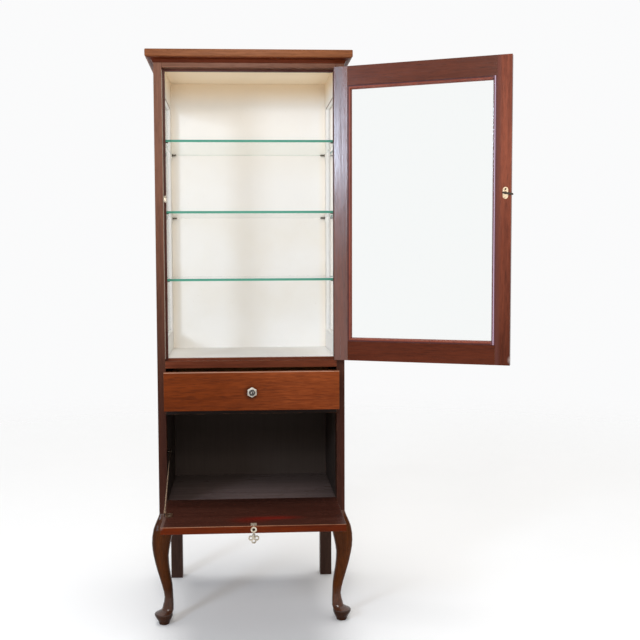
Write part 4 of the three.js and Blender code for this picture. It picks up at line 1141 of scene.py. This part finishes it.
def strike_plate(finish, screw_finish):
    """A thin rounded plate in the notch of the stop, behind where the latch's tongue comes to rest."""
    inner = POST_LEFT[1].x - STOP_LIP
    lip = [v.co for v in nodes["front_post_left"].data.vertices if v.co.x > inner + EPS]
    depths = sorted({round(point.y, 5) for point in lip})
    middle = Vector((inner + STOP_LIP / 2, depths[1], LATCH_PLACE.z))
    outline = []
    for quarter, (side, up) in enumerate(((1, 1), (-1, 1), (-1, -1), (1, -1))):
        for i in range(ROUND_STEPS + 1):
            angle = math.pi / 2 * (quarter + i / ROUND_STEPS)
            outline.append((
                side * (STRIKE_WIDTH / 2 - STRIKE_ROUND) + STRIKE_ROUND * math.cos(angle),
                up * (STRIKE_HEIGHT / 2 - STRIKE_ROUND) + STRIKE_ROUND * math.sin(angle),
            ))
    points = []
    for depth, share in STRIKE_RINGS:
        out = STRIKE_THICKNESS * depth
        points += [middle + Vector((x * share, -out, z * share)) for x, z in outline]
    count, rings = len(outline), len(STRIKE_RINGS)
    faces = cap_faces(count, rings, flip=True) + ring_faces(count, rings, flip=True)
    fitting("strike_plate", points, faces, finish, "case")
    for name, rise in (("upper", STRIKE_SCREW_RISE), ("lower", -STRIKE_SCREW_RISE)):
        place = middle + Vector((0, -STRIKE_THICKNESS, rise))
        screw(f"strike_screw_{name}", place, -Y, STRIKE_SCREW_RADIUS, screw_finish, "case", SCREW_LOW)


LEAF_FACE = 0.00015
HINGE_SCREW_RADIUS = 0.0022
# A share of the leaf's height, and how far behind the front of the case
HINGE_SCREWS = ((0.18, 0.0055), (0.5, 0.0105), (0.82, 0.0055))


def hinge_screws(finish):
    """Three flush screws in each leaf of the door's hinges."""
    opened = Matrix.Rotation(DOOR_ANGLE, 3, DOOR_AXIS)
    for level in ("lower", "upper"):
        low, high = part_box(f"door_hinge_{level}_fixed_leaf")
        for i, (share, depth) in enumerate(HINGE_SCREWS):
            on_axis = Vector((DOOR_HINGE.x, DOOR_HINGE.y, low.z + (high.z - low.z) * share))
            on_case = Vector((LEAF_FACE, FRONT_Y + depth - DOOR_HINGE.y, 0))
            screw(f"hinge_screw_{level}_case_{i}", on_axis + on_case, -X,
                  HINGE_SCREW_RADIUS, finish, "case", SCREW_FLUSH)
            on_door = Vector((-LEAF_FACE, on_case.y, 0))
            screw(f"hinge_screw_{level}_door_{i}", on_axis + opened @ on_door, opened @ X,
                  HINGE_SCREW_RADIUS, finish, "door", SCREW_FLUSH)


LATCH_PLATE_HALF = 0.0008
LATCH_SCREW_RISE = 0.0098
LATCH_SCREW_RADIUS = 0.0023
STAY_FOOT_THICKNESS = 0.002
STAY_SCREW_FROM_END = 0.0065
STAY_SCREW_FROM_SIDE = 0.008
STAY_SCREW_RADIUS = 0.0024


def add_fittings(silver, plate, steel):
    """Glazing beads, screws and the strike plate."""
    cream = Finish(bead_paint(), "cream_paint")
    for side in ("left", "right"):
        glazing_bead(side, cream)
    middle = (LATCH_PLATE[0] + LATCH_PLATE[1]) / 2
    for name, rise, finish in (("upper", LATCH_SCREW_RISE, steel), ("lower", -LATCH_SCREW_RISE, plate)):
        place = middle + Z * rise - LATCH_AXIS * LATCH_PLATE_HALF
        screw(f"latch_screw_{name}", place, -LATCH_AXIS, LATCH_SCREW_RADIUS, finish, "door", SCREW_FLUSH)
    strike_plate(silver, steel)
    hinge_screws(silver)
    low, high = STAY_FOOT
    for name, y in (("front", low.y + STAY_SCREW_FROM_END), ("rear", high.y - STAY_SCREW_FROM_END)):
        place = Vector((high.x - STAY_SCREW_FROM_SIDE, y, low.z + STAY_FOOT_THICKNESS))
        screw(f"stay_foot_screw_{name}", place, Z, STAY_SCREW_RADIUS, silver, "flap", SCREW_DOMED)


# Floor, light and world

FLOOR_HALF = 14.0
FLOOR_TONES = ((0.9, 0.895, 0.885, 1.0), (0.92, 0.915, 0.905, 1.0))
FLOOR_CLOUD_SCALE = 3.0
FLOOR_FADE = (1.4, 4.5)


def make_floor():
    """A pale floor that melts into the background away from the cabinet."""
    mesh = bpy.data.meshes.new("floor")
    corners = [(-1, -1), (1, -1), (1, 1), (-1, 1)]
    mesh.from_pydata([(x * FLOOR_HALF, y * FLOOR_HALF, 0) for x, y in corners], [], [(0, 1, 2, 3)])
    graph = Graph.material("floor")
    cloud = graph.noise(graph.place, FLOOR_CLOUD_SCALE, detail=4.0, roughness=0.6)
    recipe = Recipe(graph.mix(cloud, *FLOOR_TONES), 0.7, cloud)
    near = graph.dressed(recipe, {"Specular IOR Level": 0.1}, bump=0.02)
    away = graph.step(graph.measure("LENGTH", graph.place), *FLOOR_FADE)
    mesh.materials.append(graph.surface(graph.either(away, near, graph.clear())))
    link("floor", mesh)


def lamp(name, kind, place, target, colour, power):
    """A lamp that points at a target."""
    data = bpy.data.lights.new(name, kind)
    data.energy = power
    data.color = colour
    piece = link(name, data)
    piece.location = place
    piece.rotation_euler = (Vector(target) - Vector(place)).to_track_quat("-Z", "Y").to_euler()
    return piece


def area_lamp(name, place, target, colour, power, size, mirrored=True):
    """A soft lamp; one that isn't mirrored leaves no highlight."""
    piece = lamp(name, "AREA", place, target, colour, power)
    piece.data.shape = "RECTANGLE"
    piece.data.size, piece.data.size_y = size
    piece.visible_glossy = mirrored


WARM = (1, 0.985, 0.96)
COOL = (0.66, 0.8, 1.0)
WHITE = (1, 1, 1)
KEY_PLACE = (CENTRE_X - 0.08, -2.75, 1.85)
KEY_TARGET = (CENTRE_X, 0.2, 1.15)
GLINT_TARGET = (CENTRE_X, 0.2, 0.6)
WINDOW_PLACE = (-1.99, -2.26, 1.66)
WINDOW_TARGET = (0.06, -0.07, 1.3)
FILL_PLACE = (CENTRE_X, -2.7, 0.65)
FILL_TARGET = (CENTRE_X, 0.2, 0.65)
OVERHEAD_ANGLE = math.radians(32)


def make_lights():
    area_lamp("key_light", KEY_PLACE, KEY_TARGET, WARM, power=22.5, size=(0.7, 0.9))
    area_lamp("glint_light", KEY_PLACE, GLINT_TARGET, WARM, power=7, size=(0.15, 0.15))
    area_lamp("window_light", WINDOW_PLACE, WINDOW_TARGET, COOL, power=28, size=(0.5, 0.5))
    area_lamp("fill_light", FILL_PLACE, FILL_TARGET, WARM, power=4, size=(1.0, 1.0), mirrored=False)
    overhead = lamp("overhead_light", "SUN", (0, 0, 3), (0, 0, 0), WHITE, power=1.65)
    overhead.data.angle = OVERHEAD_ANGLE


AMBIENT = 0.48
BACKGROUND = (0.96, 0.962, 0.966, 1.0)


def make_world():
    """Even light on the cabinet, and a pale background for the camera, mirrors and glass."""
    world = bpy.data.worlds.new("world")
    bpy.context.scene.world = world
    graph = Graph(world)
    light = graph.add("ShaderNodeLightPath").outputs
    mirrored = graph.math("MAXIMUM", light["Is Glossy Ray"], light["Is Transmission Ray"])
    seen = graph.math("MAXIMUM", light["Is Camera Ray"], mirrored)
    strength = graph.blend(seen, AMBIENT, 1.0)
    background = graph.add("ShaderNodeBackground", {"Color": BACKGROUND, "Strength": strength})
    graph.surface(background.outputs[0], "ShaderNodeOutputWorld")


make_camera()
dress_case()
dress_door()
dress_drawer()
dress_flap()
add_fittings(*dress_fittings())
soften("cornice_top", "top_rail", "door_top_rail", "door_bottom_rail", "drawer_front", "flap_panel")
make_floor()
make_world()
make_lights()

bpy.context.scene.view_settings.view_transform = "Standard"
